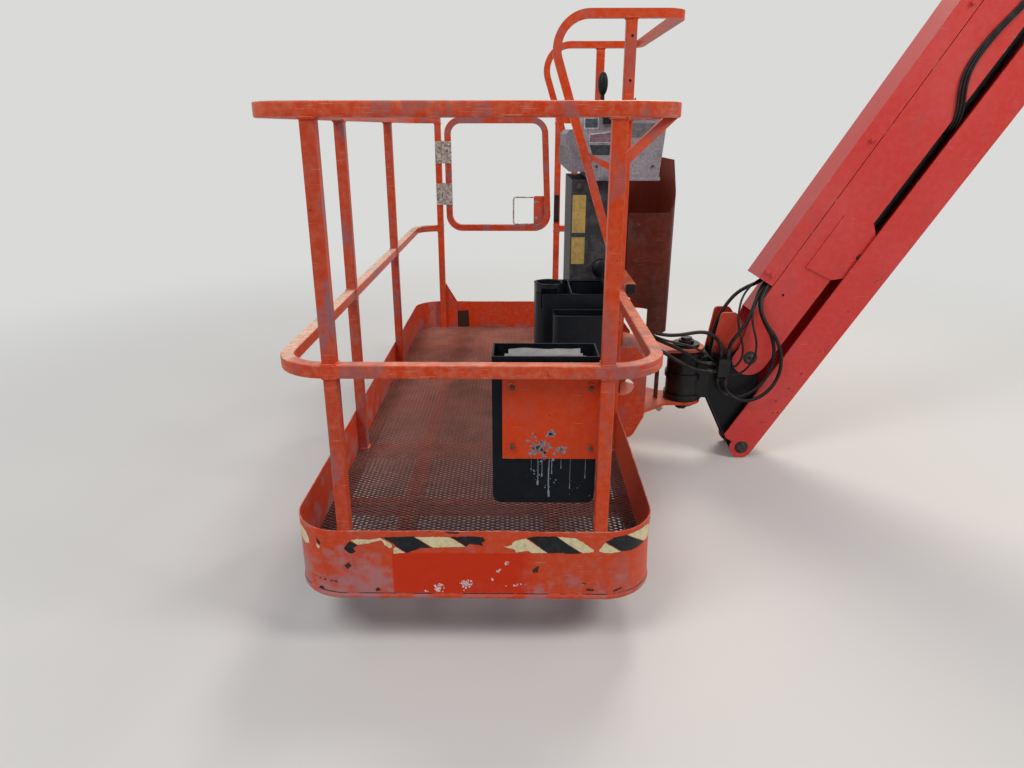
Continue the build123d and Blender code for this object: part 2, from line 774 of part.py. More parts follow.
save("lower_arm", level_plane.location * lower_arm)

# Lift cylinder: barrel on the belly pin, rod towards the rear link
barrel_start = cylinder_foot + 52
lug_half = 22
cylinder_y = -cylinder_offset


def along_arm(x, radius, length):
    """A round bar along the arm's length, on the cylinder's line."""
    return Pos(x + length / 2, cylinder_y, 0) * Rot(0, 90, 0) * Cylinder(radius, length)


rod_clearance = 0.05
barrel = along_arm(barrel_start, barrel_radius, barrel_end - barrel_start)
barrel += along_arm(barrel_end, barrel_radius + 3, 24)
barrel -= along_arm(barrel_start + 40, rod_radius + rod_clearance, barrel_end)
foot_lug = extrude(Circle(23), lug_half, both=True) + block((0, -20, -lug_half), (64, 20, lug_half))
foot_lug -= extrude(Circle(eye_pin_radius), lug_half, both=True)
barrel += Pos(cylinder_foot, cylinder_y, 0) * foot_lug
save("lift_barrel", arm_plane.location * barrel)
rod_inside = 500
rod = along_arm(rod_eye_at - eye_radius - rod_inside, rod_radius, rod_inside + 6)
eye = extrude(Circle(eye_radius), lug_half, both=True)
eye -= extrude(Circle(eye_pin_radius), lug_half, both=True)
rod += Pos(rod_eye_at, cylinder_y, 0) * eye
rod -= Pos(rod_eye_at, cylinder_y, 0) * extrude(Circle(eye_pin_radius), lug_half, both=True)
save("lift_rod", arm_plane.location * rod)
eye_pin_half = link_gap / 2 - 0.5
eye_pin = extrude(Circle(eye_pin_radius), eye_pin_half, both=True)
save("lift_eye_pin", arm_plane.location * (Pos(rod_eye_at, cylinder_y, 0) * eye_pin))
belly_pin = extrude(Circle(eye_pin_radius), arm_half + belly_plate, both=True)
save("belly_pin", arm_plane.location * (Pos(cylinder_foot, cylinder_y, 0) * belly_pin))

# Rear link: two plates between both arms, the boom pin and the levelling pin
rear_low_z = rear_pivot_z - jib_spacing
rear_table = [
    (rear_pivot_x, rear_pivot_z, 56),
    (rear_pivot_x, rear_low_z, 42),
    (boom_pin_x, boom_pin_z, 66),
    (level_pin_x, level_pin_z, 40),
]
rear_plate = link_sheet(rear_table, link_plate)
for x, z, radius in (
    (rear_pivot_x, rear_pivot_z, pivot_bore),
    (rear_pivot_x, rear_low_z, pivot_bore),
    (boom_pin_x, boom_pin_z, boom_boss_radius),
    (level_pin_x, level_pin_z, level_pin_bore),
):
    rear_plate -= along_y(x, z, radius, -20, 20)
rear_link = None
for side in (-1, 1):
    plate = Pos(0, middle_y + side * plate_shift, 0) * rear_plate
    rear_link = plate if rear_link is None else rear_link + plate
boss_half = link_gap / 2 + link_plate + 8
boom_boss = along_y(boom_pin_x, boom_pin_z, boom_boss_radius, middle_y - boss_half, middle_y + boss_half)
boom_boss -= along_y(boom_pin_x, boom_pin_z, boom_pin_bore, middle_y - boss_half, middle_y + boss_half)
rear_link += boom_boss
eye_turn = radians(jib_angle)
eye_x = front_pivot_x + rod_eye_at * cos(eye_turn) - cylinder_y * sin(eye_turn)
eye_z = front_top_pivot_z + rod_eye_at * sin(eye_turn) + cylinder_y * cos(eye_turn)
keeper_radius = 20
keeper_height = 6
for side in (-1, 1):
    face_y = middle_y + side * (link_gap / 2 + link_plate)
    low_y, high_y = sorted((face_y, face_y + side * keeper_height))
    rear_link += along_y(eye_x, eye_z, keeper_radius, low_y, high_y)
save("rear_link", rear_link)

# Pins of the jib: name, x, z, half length
pin_table = [
    ("front_upper_pin", front_pivot_x, front_top_pivot_z, arm_half + 3),
    ("front_lower_pin", front_pivot_x, front_pivot_z, level_half + 3),
    ("rear_upper_pin", rear_pivot_x, rear_pivot_z, arm_half + 3),
    ("rear_lower_pin", rear_pivot_x, rear_low_z, level_half + 3),
]
for name, x, z, half in pin_table:
    save(name, along_y(x, z, jib_pin_radius, middle_y - half, middle_y + half))

# Column under the controls and the moulded box on top of it
column_half = 190
column_depth = 166
column_near = middle_y - column_half
column_far = middle_y + column_half
column_right = support_x - half_tube
column_left = column_right - column_depth
column_low = 452
console_low = 952
lip_height = 12
column_top = console_low - lip_height / 2
column_outline = Rectangle(column_right - column_left, column_far - column_near)
column_outline = fillet(column_outline.vertices(), 24)
column = Pos((column_left + column_right) / 2, middle_y, column_low) * extrude(
    column_outline, column_top - column_low
)
save("control_column", column)
console_half = 215
console_depth = 284
console_near = middle_y - console_half
console_far = middle_y + console_half
console_left = column_left + 24
console_right = console_left + console_depth
console_high = 1186
console_bend = 10
panel_drop = 36
left_top = console_high - panel_drop
console_points = [
    (console_left + 40, console_low), (console_right - 18, console_low),
    (console_right, left_top), (console_right - 12, console_high),
    (console_left + 14, left_top), (console_left, left_top - 22),
]
console_face = make_face(Polyline(*console_points, close=True))
console_face = fillet(console_face.vertices(), console_bend)
console_length = console_far - console_near
console = Pos(0, console_near, 0) * extrude(Plane.XZ.location * console_face, -console_length)
# lip round the foot of the box
lip_reach = 6
console += block(
    (console_left + 34, console_near - lip_reach, column_top),
    (console_right - 14, console_far + lip_reach, column_top + lip_height),
)
# ribbed cover on the side towards the platform
cover_reach = 48
cover_half = 170
cover_drop = 78
cover_left = console_left - cover_reach
cover_right = console_left + 42
cover_foot = console_low + 20
cover_top = console_high - cover_drop
rib_cover = block(
    (cover_left, middle_y - cover_half, cover_foot), (cover_right, middle_y + cover_half, cover_top)
)
rib_cover = chamfer(rib_cover.edges().filter_by(Axis.Y).group_by(Axis.X)[0], 14)
console += rib_cover
rib_pitch = 30
ribs = 11
for i in range(ribs):
    y = middle_y + (i - (ribs - 1) / 2) * rib_pitch
    console += block((cover_left - 4, y - 4, cover_foot + 16), (cover_left + 2, y + 4, cover_top - 55))
save("control_box", console)

# Joystick on the sloping top of the control box
stick_x = console_left + 76
stick_y = console_near + 95
panel_slope = panel_drop / (console_right - console_left - 26)
stick_z = left_top + (stick_x - console_left - 14) * panel_slope
boot = Pos(stick_x, stick_y, stick_z + 12) * Cone(26, 12, 30)
boot = boot - console
stick = Pos(stick_x, stick_y, stick_z + 52) * Cylinder(7, 56)
grip = Pos(stick_x, stick_y, stick_z + 95) * scale(Sphere(1), by=(17, 19, 38))
save("joystick", boot + stick + grip)

# Tool tray on the near side of the column: two bins and a cup, moulded in one piece
tray_wall = 4
tray_gap = 12
tray_width = 242
tray_right = post_x - half_tube - tray_gap
tray_left = tray_right - tray_width
tray_depth = 230
tray_near = column_near - tray_depth
tray_far = column_near
tray_low = 400
tray_height = 200
tray_high = tray_low + tray_height
tray_bend = 30
bin_split = tray_left + 120
tray = block((tray_left, tray_near, tray_low), (tray_right, tray_far, tray_high))
tray = fillet(tray.edges().filter_by(Axis.Z).group_by(Axis.X)[0], tray_bend)
bin_table = [
    (tray_left + tray_wall, bin_split - tray_wall / 2, tray_low + tray_wall),
    (bin_split + tray_wall / 2, tray_right - tray_wall, tray_low + 60),
]
for left, right, low in bin_table:
    hollow = block((left, tray_near + tray_wall, low), (right, tray_far - tray_wall, tray_high + 1))
    edges = hollow.edges().filter_by(Axis.Z).group_by(Axis.X)[0]
    tray -= fillet(edges, tray_bend - tray_wall)
cup_radius = 45
cup_wall = 4
cup_x = tray_left + cup_radius + 1
cup_y = tray_near + cup_radius + 1
cup_foot = tray_low + 110
cup_rim = tray_high + 30
cup = Pos(cup_x, cup_y, cup_foot) * extrude(Circle(cup_radius), cup_rim - cup_foot)
cup_hollow = Pos(cup_x, cup_y, cup_foot + cup_wall) * extrude(Circle(cup_radius - cup_wall), cup_rim)
tray = tray - Pos(cup_x, cup_y, cup_foot) * extrude(Circle(cup_radius - 1), cup_rim)
tray = tray + (cup - cup_hollow)
window_half = 27
window_face = make_face(
    Polyline(
        (-window_half, cup_rim - 12), (window_half, cup_rim - 12), (window_half, cup_foot + 42),
        (window_half - 16, cup_foot + 16), (-window_half + 16, cup_foot + 16),
        (-window_half, cup_foot + 42), close=True,
    )
)
window = Plane.XZ.location * extrude(window_face, cup_radius)
tray = tray - Pos(cup_x, cup_y, 0) * window
save("tool_tray", tray.solids().sort_by(SortBy.VOLUME)[-1])
pocket_depth = 96
pocket_near = tray_near - pocket_depth
pocket_left = tray_left + 56
pocket_low = tray_low + 2
pocket_high = tray_high - 52
pocket_bend = 22
front_pocket = block((pocket_left, pocket_near, pocket_low), (tray_right, tray_near, pocket_high))
front_pocket = fillet(front_pocket.edges().filter_by(Axis.Z).group_by(Axis.Y)[0], pocket_bend)
pocket_hollow = block(
    (pocket_left + tray_wall, pocket_near + tray_wall, pocket_low + tray_wall),
    (tray_right - tray_wall, tray_near - tray_wall, pocket_high + 1),
)
pocket_edges = pocket_hollow.edges().filter_by(Axis.Z).group_by(Axis.Y)[0]
front_pocket -= fillet(pocket_edges, pocket_bend - tray_wall)
save("front_pocket", front_pocket)

# Hose guard behind the controls: a rolled sheet, open towards the platform
guard_sheet = 4
guard_bow = 70
shell_half = 205
shell_reach = 186
shell_near = middle_y - shell_half
shell_far = middle_y + shell_half
shell_x = support_x + shell_reach
outer_u = Pos((support_x + half_tube + shell_x) / 2, middle_y) * Rectangle(
    shell_x - support_x - half_tube, shell_far - shell_near
)
outer_u = fillet(outer_u.vertices().group_by(Axis.X)[-1], guard_bow)
inner_u = Pos((support_x + half_tube + shell_x) / 2 - guard_sheet, middle_y) * Rectangle(
    shell_x - support_x - half_tube, shell_far - shell_near - 2 * guard_sheet
)
inner_u = fillet(inner_u.vertices().group_by(Axis.X)[-1], guard_bow - guard_sheet)
shell_low = 405
shell_top = 1008
shell_slant = 172
shell_slant_z = shell_top - shell_slant
shell = Pos(0, 0, shell_low) * extrude(outer_u - inner_u, shell_top - shell_low)
shell_slope = 110
crop_points = [
    (shell_near - 10, shell_slant_z), (shell_near + 20, shell_slant_z),
    (shell_near + 20 + shell_slope, shell_top + 1), (shell_near - 10, shell_top + 1),
]
crop = make_face(Polyline(*crop_points, close=True))
crop_solid = Plane.YZ.location * extrude(crop, 800)
shell -= crop_solid
crop_left = support_x
crop_right = console_right + 6
shell -= block((crop_left, shell_near - 1, console_low - 20), (crop_right, shell_far + 1, shell_top + 1))
foot_reach = 101
foot_rise = 95
foot_left = support_x
foot_right = support_x + foot_reach
foot_crop = make_face(
    Polyline(
        (foot_left, shell_low - 5), (foot_right, shell_low - 5), (foot_right, shell_low + foot_rise),
        (foot_right - 35, shell_low + foot_rise + 20), (foot_left, shell_low + foot_rise + 60),
        close=True,
    )
)
shell -= Plane.XZ.location * extrude(foot_crop, -3000)
save("hose_guard", shell)

# Hoses, as routes chosen by hand. Each point is x, y, z from the middle of the front
# link's upper pin. The arm's hoses start under its cover, and those to the platform
# start on the control column.
hose_radius = 7
web_rest = web_top - front_top_pivot_z + 0.3
top_port = valve_top - front_top_pivot_z + fitting_height + 0.3
foot_port = valve_foot - front_top_pivot_z - fitting_height - 0.3
side_port = valve_left - front_pivot_x - fitting_height - 0.3
arm_routes = [
    [
        (79.5, 16, 337.6), (58, 16, 306), (26, 15, 280), (-15, 12, 264), (-57, 6, 240),
        (-93, -3, 200), (-120, -10, 150), (-136, -13, 96), (-142, -14, 42), (-142, -14, web_rest),
    ],
    [
        (79.5, -5, 337.6), (58, -5, 306), (34, -17, 276), (12, -42, 248), (-7, -70, 214),
        (-25, -92, 176), (-46, -103, 138), (-69, -106, 104), (-87, -102, 74), (-95, -98, 46),
        (-95, -98, top_port),
    ],
    [
        (79.5, -46, 337.6), (58, -49, 306), (28, -65, 270), (6, -95, 232), (7, -118, 187),
        (30, -130, 144), (64, -133, 104), (88, -133, 56), (100, -132, 4), (98, -131, -48),
        (80, -129, -96), (48, -126, -134), (12, -121, -156), (-25, -114, -162), (-56, -107, -153),
        (-82, -101, -133), (-95, -98, -106), (-95, -98, foot_port),
    ],
    [
        (79.5, -26, 337.6), (58, -28, 306), (29, -44, 270), (8, -75, 230), (10, -99, 186),
        (30, -111, 144), (58, -114, 100), (74, -114, 46), (74, -112, -10), (60, -109, -62),
        (34, -104, -106), (0, -98, -138), (-36, -91, -156), (-70, -85, -157), (-99, -79, -140),
        (-117, -76, -111), (-117, -76, foot_port),
    ],
]
column_face = column_right - front_pivot_x + 0.3
platform_routes = [
    [
        (column_face, -108, 238), (-528, -108, 238), (-503, -108, 230), (-482, -109, 214),
        (-466, -110, 190), (-451, -111, 163), (-430, -113, 137), (-396, -114, 115),
        (-346, -115, 103), (-294, -114, 103), (-248, -110, 110), (-212, -104, 113),
        (-184, -98, 109), (-160, -93, 98), (-141, -89, 81), (-127, -87, 61),
        (-119, -86, 41), (-119, -86, top_port),
    ],
    [
        (column_face, -88, 214), (-528, -88, 214), (-503, -88, 206), (-483, -89, 190),
        (-467, -91, 166), (-450, -94, 139), (-427, -98, 115), (-394, -102, 93), (-344, -105, 71),
        (-294, -106, 50), (-253, -102, 26), (-222, -95, 2), (-197, -87, -14), (-171, -82, -20),
        (side_port, -82, -20),
    ],
    [
        (column_face, -112, 212), (-528, -112, 212), (-504, -112, 203), (-485, -113, 186),
        (-471, -114, 162), (-459, -115, 133), (-441, -116, 105), (-413, -118, 77),
        (-371, -120, 51), (-326, -120, 24), (-282, -117, -4), (-240, -110, -27),
        (-202, -101, -41), (-173, -96, -46), (side_port, -96, -46),
    ],
]


def hose(route, radius):
    """A hose along straight runs joined by arcs as large as the runs allow."""
    points = [Vector(front_pivot_x + x, middle_y + y, front_top_pivot_z + z) for x, y, z in route]
    radii = []
    for before, here, after in zip(points, points[1:], points[2:]):
        turn = (here - before).get_angle(after - here)
        shorter = min((here - before).length, (after - here).length)
        radii.append(0.45 * shorter / tan(radians(turn / 2)))
    path = FilletPolyline(*points, radius=radii)
    section = Plane(path @ 0, z_dir=path % 0) * Circle(radius)
    print("hose radii", [round(r) for r in radii], "length", round(path.length))
    return sweep(section, path)


for name, routes in (("arm_hoses", arm_routes), ("platform_hoses", platform_routes)):
    save(name, Compound(children=[hose(route, hose_radius) for route in routes]))
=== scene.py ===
import math
import random

import bpy
from mathutils import Matrix, Vector, geometry, noise


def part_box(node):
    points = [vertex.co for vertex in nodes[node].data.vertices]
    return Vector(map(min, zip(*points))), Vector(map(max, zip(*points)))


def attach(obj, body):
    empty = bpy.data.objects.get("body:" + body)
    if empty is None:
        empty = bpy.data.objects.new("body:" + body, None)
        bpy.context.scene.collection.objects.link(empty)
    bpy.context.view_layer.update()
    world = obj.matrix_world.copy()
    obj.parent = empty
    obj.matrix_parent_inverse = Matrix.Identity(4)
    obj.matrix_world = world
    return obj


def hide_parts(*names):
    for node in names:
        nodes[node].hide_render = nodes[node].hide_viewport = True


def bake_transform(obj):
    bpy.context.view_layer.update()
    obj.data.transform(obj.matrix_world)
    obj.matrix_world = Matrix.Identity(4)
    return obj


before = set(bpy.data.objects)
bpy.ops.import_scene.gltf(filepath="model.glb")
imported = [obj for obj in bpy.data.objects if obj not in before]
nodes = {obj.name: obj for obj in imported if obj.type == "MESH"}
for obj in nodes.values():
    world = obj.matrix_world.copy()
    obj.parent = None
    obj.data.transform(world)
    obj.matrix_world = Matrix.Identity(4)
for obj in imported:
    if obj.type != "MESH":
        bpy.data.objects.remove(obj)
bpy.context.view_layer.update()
scene = bpy.context.scene
scene.view_settings.view_transform = "Standard"

# Camera at the place that the photograph was taken from, fitted to the toe board,
# the rails and the posts: about 1.1 m above the platform's foot and 1.5 m before it.
camera_data = bpy.data.cameras.new("photo_camera")
camera_data.sensor_width = 36
camera_data.lens = 25.13
camera_data.clip_end = 60
camera = bpy.data.objects.new("photo_camera", camera_data)
scene.collection.objects.link(camera)
scene.camera = camera
camera_yaw = -0.010
camera_pitch = 0.345
right = Vector((math.cos(camera_yaw), -math.sin(camera_yaw), 0))
forward = Vector((
    math.sin(camera_yaw) * math.cos(camera_pitch),
    math.cos(camera_yaw) * math.cos(camera_pitch),
    -math.sin(camera_pitch),
))
above = right.cross(forward)
camera.matrix_world = Matrix((
    (right.x, above.x, -forward.x, -2.0315),
    (right.y, above.y, -forward.y, -2.728),
    (right.z, above.z, -forward.z, -0.6046),
    (0, 0, 0, 1),
))


# Studio: a plain pale floor just under the lowest point of the jib, a pale world and
# three large soft lamps, at a level that leaves colours as they are written.
def linear(hex_colour):
    """An sRGB hex colour as linear red, green, blue and alpha."""
    parts = [int(hex_colour[i:i + 2], 16) / 255 for i in (1, 3, 5)]
    return [p / 12.92 if p <= 0.04045 else ((p + 0.055) / 1.055) ** 2.4 for p in parts] + [1]


def feed(tree, node, inputs):
    """Sets inputs of a node: values, hex colours, sockets, or nodes with one output in use."""
    for key, value in inputs.items():
        if isinstance(value, str):
            value = linear(value)
        if isinstance(value, bpy.types.Node):
            value = next(socket for socket in value.outputs if socket.enabled)
        if isinstance(value, bpy.types.NodeSocket):
            tree.links.new(value, node.inputs[key])
        else:
            node.inputs[key].default_value = value
    return node


def add_node(tree, kind, inputs=None, **settings):
    """One shader node with its settings and its inputs."""
    node = tree.nodes.new("ShaderNode" + kind)
    for key, value in settings.items():
        setattr(node, key, value)
    return feed(tree, node, inputs or {})


def new_material(name):
    """A material, its node tree, its Principled shader and its coordinates by name."""
    material = bpy.data.materials.new(name)
    material.use_nodes = True
    tree = material.node_tree
    place = add_node(tree, "TexCoord").outputs
    return material, tree, tree.nodes["Principled BSDF"], place


floor_level = -1.8685
ground = bpy.data.meshes.new("studio_floor")
ground.from_pydata(
    [(-14, -9, floor_level), (11, -9, floor_level), (11, 14, floor_level), (-14, 14, floor_level)],
    [], [(0, 1, 2, 3)],
)
studio_floor = bpy.data.objects.new("studio_floor", ground)
scene.collection.objects.link(studio_floor)
floor_paint, tree, shader, place = new_material("matt_floor_paint")
feed(tree, shader, {"Base Color": "#D6D6D4", "Roughness": 0.95})
# away from the object the floor goes over into the pale background, as a curved backdrop does
rays = add_node(tree, "LightPath")
seen = add_node(tree, "Math", {0: rays.outputs["Is Camera Ray"], 1: rays.outputs["Is Glossy Ray"]},
                operation="MAXIMUM")
reach = add_node(tree, "VectorMath", {0: place["Object"], 1: (-1.6, 0, floor_level)},
                 operation="DISTANCE")
far = add_node(tree, "MapRange", {"Value": reach, "From Min": 1.5, "From Max": 5.2},
               interpolation_type="SMOOTHSTEP")
share = add_node(tree, "Math", {0: far, 1: seen}, operation="MULTIPLY")
pale = add_node(tree, "Emission", {"Color": "#DEDEDC", "Strength": 0.96})
blend = add_node(tree, "MixShader", {0: share, 1: shader, 2: pale})
feed(tree, tree.nodes["Material Output"], {"Surface": blend})
ground.materials.append(floor_paint)

world = bpy.data.worlds.new("pale_studio")
scene.world = world
world.use_nodes = True
tree = world.node_tree
rays = add_node(tree, "LightPath")
seen = add_node(tree, "Math", {0: rays.outputs["Is Camera Ray"], 1: rays.outputs["Is Glossy Ray"]},
                operation="MAXIMUM")
tint = add_node(tree, "Mix", {"Factor": seen, 6: "#AFB6C2", 7: "#DEDEDC"}, data_type="RGBA")
level = add_node(tree, "MapRange", {"Value": seen, "To Min": 0.62, "To Max": 0.96})
feed(tree, tree.nodes["Background"], {"Color": tint, "Strength": level})

# lamps: name, place, aimed at, side length, watts, colour
lamp_table = [
    ("key_lamp", (-4.6, -3.4, 3.2), (-2.0, 0.0, -1.2), 2.4, 130, "#FFFBF6"),
    ("side_lamp", (2.0, -2.4, 2.6), (-1.7, 0.0, -1.0), 1.8, 130, "#FFF8EE"),
    ("back_lamp", (-0.2, 4.0, 3.6), (-1.8, 0.4, -1.0), 2.2, 210, "#FFF4E6"),
]
for name, where, target, side, watts, colour in lamp_table:
    lamp_data = bpy.data.lights.new(name, "AREA")
    lamp_data.size = side
    lamp_data.energy = watts
    lamp_data.color = linear(colour)[:3]
    lamp = bpy.data.objects.new(name, lamp_data)
    lamp.location = where
    lamp.rotation_euler = (Vector(target) - Vector(where)).to_track_quat("-Z", "Y").to_euler()
    scene.collection.objects.link(lamp)


# Toe board: one 3 mm steel sheet bent round the platform, with a rolled bead at its foot
# and a flange turned in under the floor. Sprayed with orange alkyd enamel that years
# outdoors have faded, scuffed and chipped, and dented where the platform met walls.
def weathered_enamel(name, fresh, faded, chalk, primer, rust, scuff="#8C6468", gloss=0.38, wear=0.5,
                     scuffed=0.35, shine=0.18, cloudy=0.30):
    """Sprayed enamel that has faded, been scuffed and chipped."""
    material, tree, shader, place = new_material(name)
    spot = place["Object"]
    # fading in fields about 300 mm wide
    fields = add_node(tree, "TexNoise", {"Vector": spot, "Scale": 3.3, "Detail": 4.0})
    fade = add_node(tree, "MapRange", {"Value": fields, "From Min": 0.38, "From Max": 0.64})
    body = add_node(tree, "Mix", {"Factor": fade, 6: fresh, 7: faded}, data_type="RGBA")
    # cloudy stains about 20 mm wide
    clouds = add_node(tree, "TexNoise", {"Vector": spot, "Scale": 46.0, "Detail": 5.0, "Roughness": 0.65})
    stain = add_node(tree, "MapRange", {"Value": clouds, "From Min": 0.42, "From Max": 0.75,
                                        "To Max": cloudy})
    stained = add_node(tree, "Mix", {"Factor": stain, 6: body, 7: chalk}, data_type="RGBA")
    # faces that look up are chalked by the sun
    way = add_node(tree, "SeparateXYZ", {0: place["Normal"]}).outputs
    upward = add_node(tree, "MapRange", {"Value": way["Z"], "From Min": 0.55, "From Max": 0.98,
                                         "To Max": 0.9})
    patchy = add_node(tree, "Math", {0: upward, 1: clouds}, operation="MULTIPLY")
    chalked = add_node(tree, "Mix", {"Factor": patchy, 6: stained, 7: chalk}, data_type="RGBA")
    # long scratches about 1 mm wide, level as the platform rubs along walls
    flat_way = add_node(tree, "Mapping", {"Vector": spot, "Scale": (14, 14, 520)})
    lines = add_node(tree, "TexNoise", {"Vector": flat_way, "Scale": 1.0, "Detail": 3.0})
    scratch = add_node(tree, "MapRange", {"Value": lines, "From Min": 0.70 - 0.05 * wear,
                                          "From Max": 0.76 - 0.05 * wear, "To Max": 0.5})
    scratched = add_node(tree, "Mix", {"Factor": scratch, 6: chalked, 7: primer}, data_type="RGBA")
    # dull lilac-grey scuffs in patches about 150 mm long, where straps and crates rub
    tall = add_node(tree, "Mapping", {"Vector": spot, "Scale": (11, 11, 6)})
    patches = add_node(tree, "TexNoise", {"Vector": tall, "Scale": 1.0, "Detail": 8.0, "Roughness": 0.68})
    rubbing = add_node(tree, "MapRange", {"Value": patches, "From Min": 0.56 - 0.08 * scuffed,
                                          "From Max": 0.65 - 0.08 * scuffed, "To Max": scuffed})
    dulled = add_node(tree, "Mix", {"Factor": rubbing, 6: scratched, 7: scuff}, data_type="RGBA")
    # edges rubbed through to the primer: there a rounded normal leaves the true one
    shape = add_node(tree, "NewGeometry")
    rounded = add_node(tree, "Bevel", {"Radius": 0.004}, samples=4)
    apart = add_node(tree, "VectorMath", {0: rounded, 1: shape.outputs["Normal"]}, operation="DOT_PRODUCT")
    edge = add_node(tree, "MapRange", {"Value": apart, "From Min": 0.985, "From Max": 0.80})
    ragged = add_node(tree, "TexNoise", {"Vector": spot, "Scale": 22.0, "Detail": 7.0, "Roughness": 0.7})
    rub = add_node(tree, "MapRange", {"Value": ragged, "From Min": 0.60 - 0.12 * wear,
                                      "From Max": 0.68 - 0.10 * wear})
    rubbed = add_node(tree, "Math", {0: edge, 1: rub}, operation="MULTIPLY")
    worn = add_node(tree, "Mix", {"Factor": rubbed, 6: dulled, 7: primer}, data_type="RGBA")
    # chips 3 to 8 mm across, down to brown rust
    flakes = add_node(tree, "TexNoise", {"Vector": spot, "Scale": 75.0, "Detail": 4.0, "Roughness": 0.6,
                                         "Distortion": 0.6})
    region = add_node(tree, "TexNoise", {"Vector": spot, "Scale": 6.0, "Detail": 2.0})
    sparse = add_node(tree, "MapRange", {"Value": region, "From Min": 0.4, "From Max": 0.7, "To Min": 0.10,
                                         "To Max": -0.02 - 0.03 * wear})
    depth = add_node(tree, "Math", {0: flakes, 1: sparse}, operation="SUBTRACT")
    chip = add_node(tree, "MapRange", {"Value": depth, "From Min": 0.70, "From Max": 0.72})
    chipped = add_node(tree, "Mix", {"Factor": chip, 6: worn, 7: rust}, data_type="RGBA")
    feed(tree, shader, {"Base Color": chipped, "Specular IOR Level": shine})
    dull = add_node(tree, "Math", {0: stain, 1: chip}, operation="ADD")
    matt = add_node(tree, "MapRange", {"Value": dull, "To Min": gloss, "To Max": 0.8})
    feed(tree, shader, {"Roughness": matt})
    # sprayed enamel dries with an orange-peel skin, about 2.5 mm from crest to crest
    peel = add_node(tree, "TexNoise", {"Vector": spot, "Scale": 400.0, "Detail": 1.0})
    skin = add_node(tree, "Math", {0: peel, 1: 0.12}, operation="MULTIPLY")
    height = add_node(tree, "Math", {0: skin, 1: chip}, operation="SUBTRACT")
    relief = add_node(tree, "Bump", {"Height": height, "Strength": 0.5, "Distance": 0.0006})
    feed(tree, shader, {"Normal": relief})
    return material, tree, shader, chipped, place


platform_foot = Vector((-2.14352, -1.22, -1.720616))


def from_platform(x, y, z):
    """A point in millimetres from the middle of the platform's near end, at its foot."""
    return Vector((x / 1000 + platform_foot.x, y / 1000 + platform_foot.y, z / 1000 + platform_foot.z))


def finished_mesh(name, shape, material, body, sharp_from=38):
    """A mesh piece of points and faces in its material, which rides on one body."""
    points, faces = shape
    mesh = bpy.data.meshes.new(name)
    mesh.from_pydata([tuple(p) for p in points], [], faces)
    mesh.materials.append(material)
    mesh.shade_smooth()
    mesh.set_sharp_from_angle(angle=math.radians(sharp_from))
    piece = bpy.data.objects.new(name, mesh)
    scene.collection.objects.link(piece)
    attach(piece, body)
    return piece


platform_length = 2.44
platform_width = 0.91
corner_radius = 0.130
toe_height = 0.193
toe_sheet = 0.003
toe_flange = 0.028
flat_near = platform_width / 2 - corner_radius
quarter = corner_radius * math.pi / 2
flat_side = platform_length - 2 * corner_radius
outline_length = 4 * (flat_near + quarter) + 2 * flat_side


def along_toe_board(s):
    """Place and outward direction on the outline, s metres round from the middle of the near end."""
    s = s % outline_length
    half = outline_length / 2
    mirror = 1 if s <= half else -1
    s = s if s <= half else outline_length - s
    r = corner_radius
    w = platform_width / 2
    if s < flat_near:
        x, y, n = s, 0.0, (0, -1)
    elif s < flat_near + quarter:
        t = (s - flat_near) / r
        x, y, n = flat_near + r * math.sin(t), r - r * math.cos(t), (math.sin(t), -math.cos(t))
    elif s < flat_near + quarter + flat_side:
        x, y, n = w, r + s - flat_near - quarter, (1, 0)
    elif s < flat_near + 2 * quarter + flat_side:
        t = (s - flat_near - quarter - flat_side) / r
        x, y = w - r + r * math.cos(t), platform_length - r + r * math.sin(t)
        n = (math.cos(t), math.sin(t))
    else:
        x, y, n = half - s, platform_length, (0, 1)
    return mirror * x, y, mirror * n[0], n[1]


# dents: metres round from the middle of the near end, height, half width, half height, depth
toe_dents = [
    (0.307, 0.050, 0.030, 0.030, 0.007), (0.272, 0.026, 0.026, 0.018, 0.004),
    (-0.100, 0.178, 0.050, 0.030, 0.004), (0.080, 0.186, 0.050, 0.020, 0.003),
    (-0.260, 0.120, 0.080, 0.050, 0.003), (0.150, 0.085, 0.030, 0.025, 0.002),
    (-0.370, 0.030, 0.060, 0.040, 0.005), (0.470, 0.120, 0.070, 0.060, 0.004),
    (-1.10, 0.120, 0.120, 0.060, 0.006), (1.30, 0.150, 0.100, 0.060, 0.006),
    (2.40, 0.080, 0.140, 0.060, 0.005), (-2.20, 0.160, 0.090, 0.050, 0.006),
]


toe_posts = [(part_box(name)[0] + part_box(name)[1]) / 2 for name in (
    "post_near_left", "post_near_right", "post_left_near", "post_left_far", "gate_hinge_post",
    "gate_latch_post")]


def toe_dent(s, z):
    """How far the sheet is pushed in at a place. A post behind it stops a dent."""
    x, y, nx, ny = along_toe_board(s)
    pushed = 0.0010 * (1 + noise.noise(Vector((x * 5, y * 5, z * 9))))
    for at, level, wide, high, depth in toe_dents:
        gap = (s - at + outline_length / 2) % outline_length - outline_length / 2
        pushed += depth * math.exp(-(gap / wide) ** 2 - ((z - level) / high) ** 2)
    here = from_platform(x * 1000, y * 1000, 0)
    if any(math.hypot(here.x - post.x, here.y - post.y) < 0.036 for post in toe_posts):
        pushed = min(pushed, 0.0016)
    return pushed * min(1, z / 0.03)


def on_toe_board(s, z, lift=0.0):
    """A point on the dented outer face, lifted off it by a small distance."""
    x, y, nx, ny = along_toe_board(s)
    away = lift - toe_dent(s, z)
    return from_platform((x + nx * away) * 1000, (y + ny * away) * 1000, z * 1000)


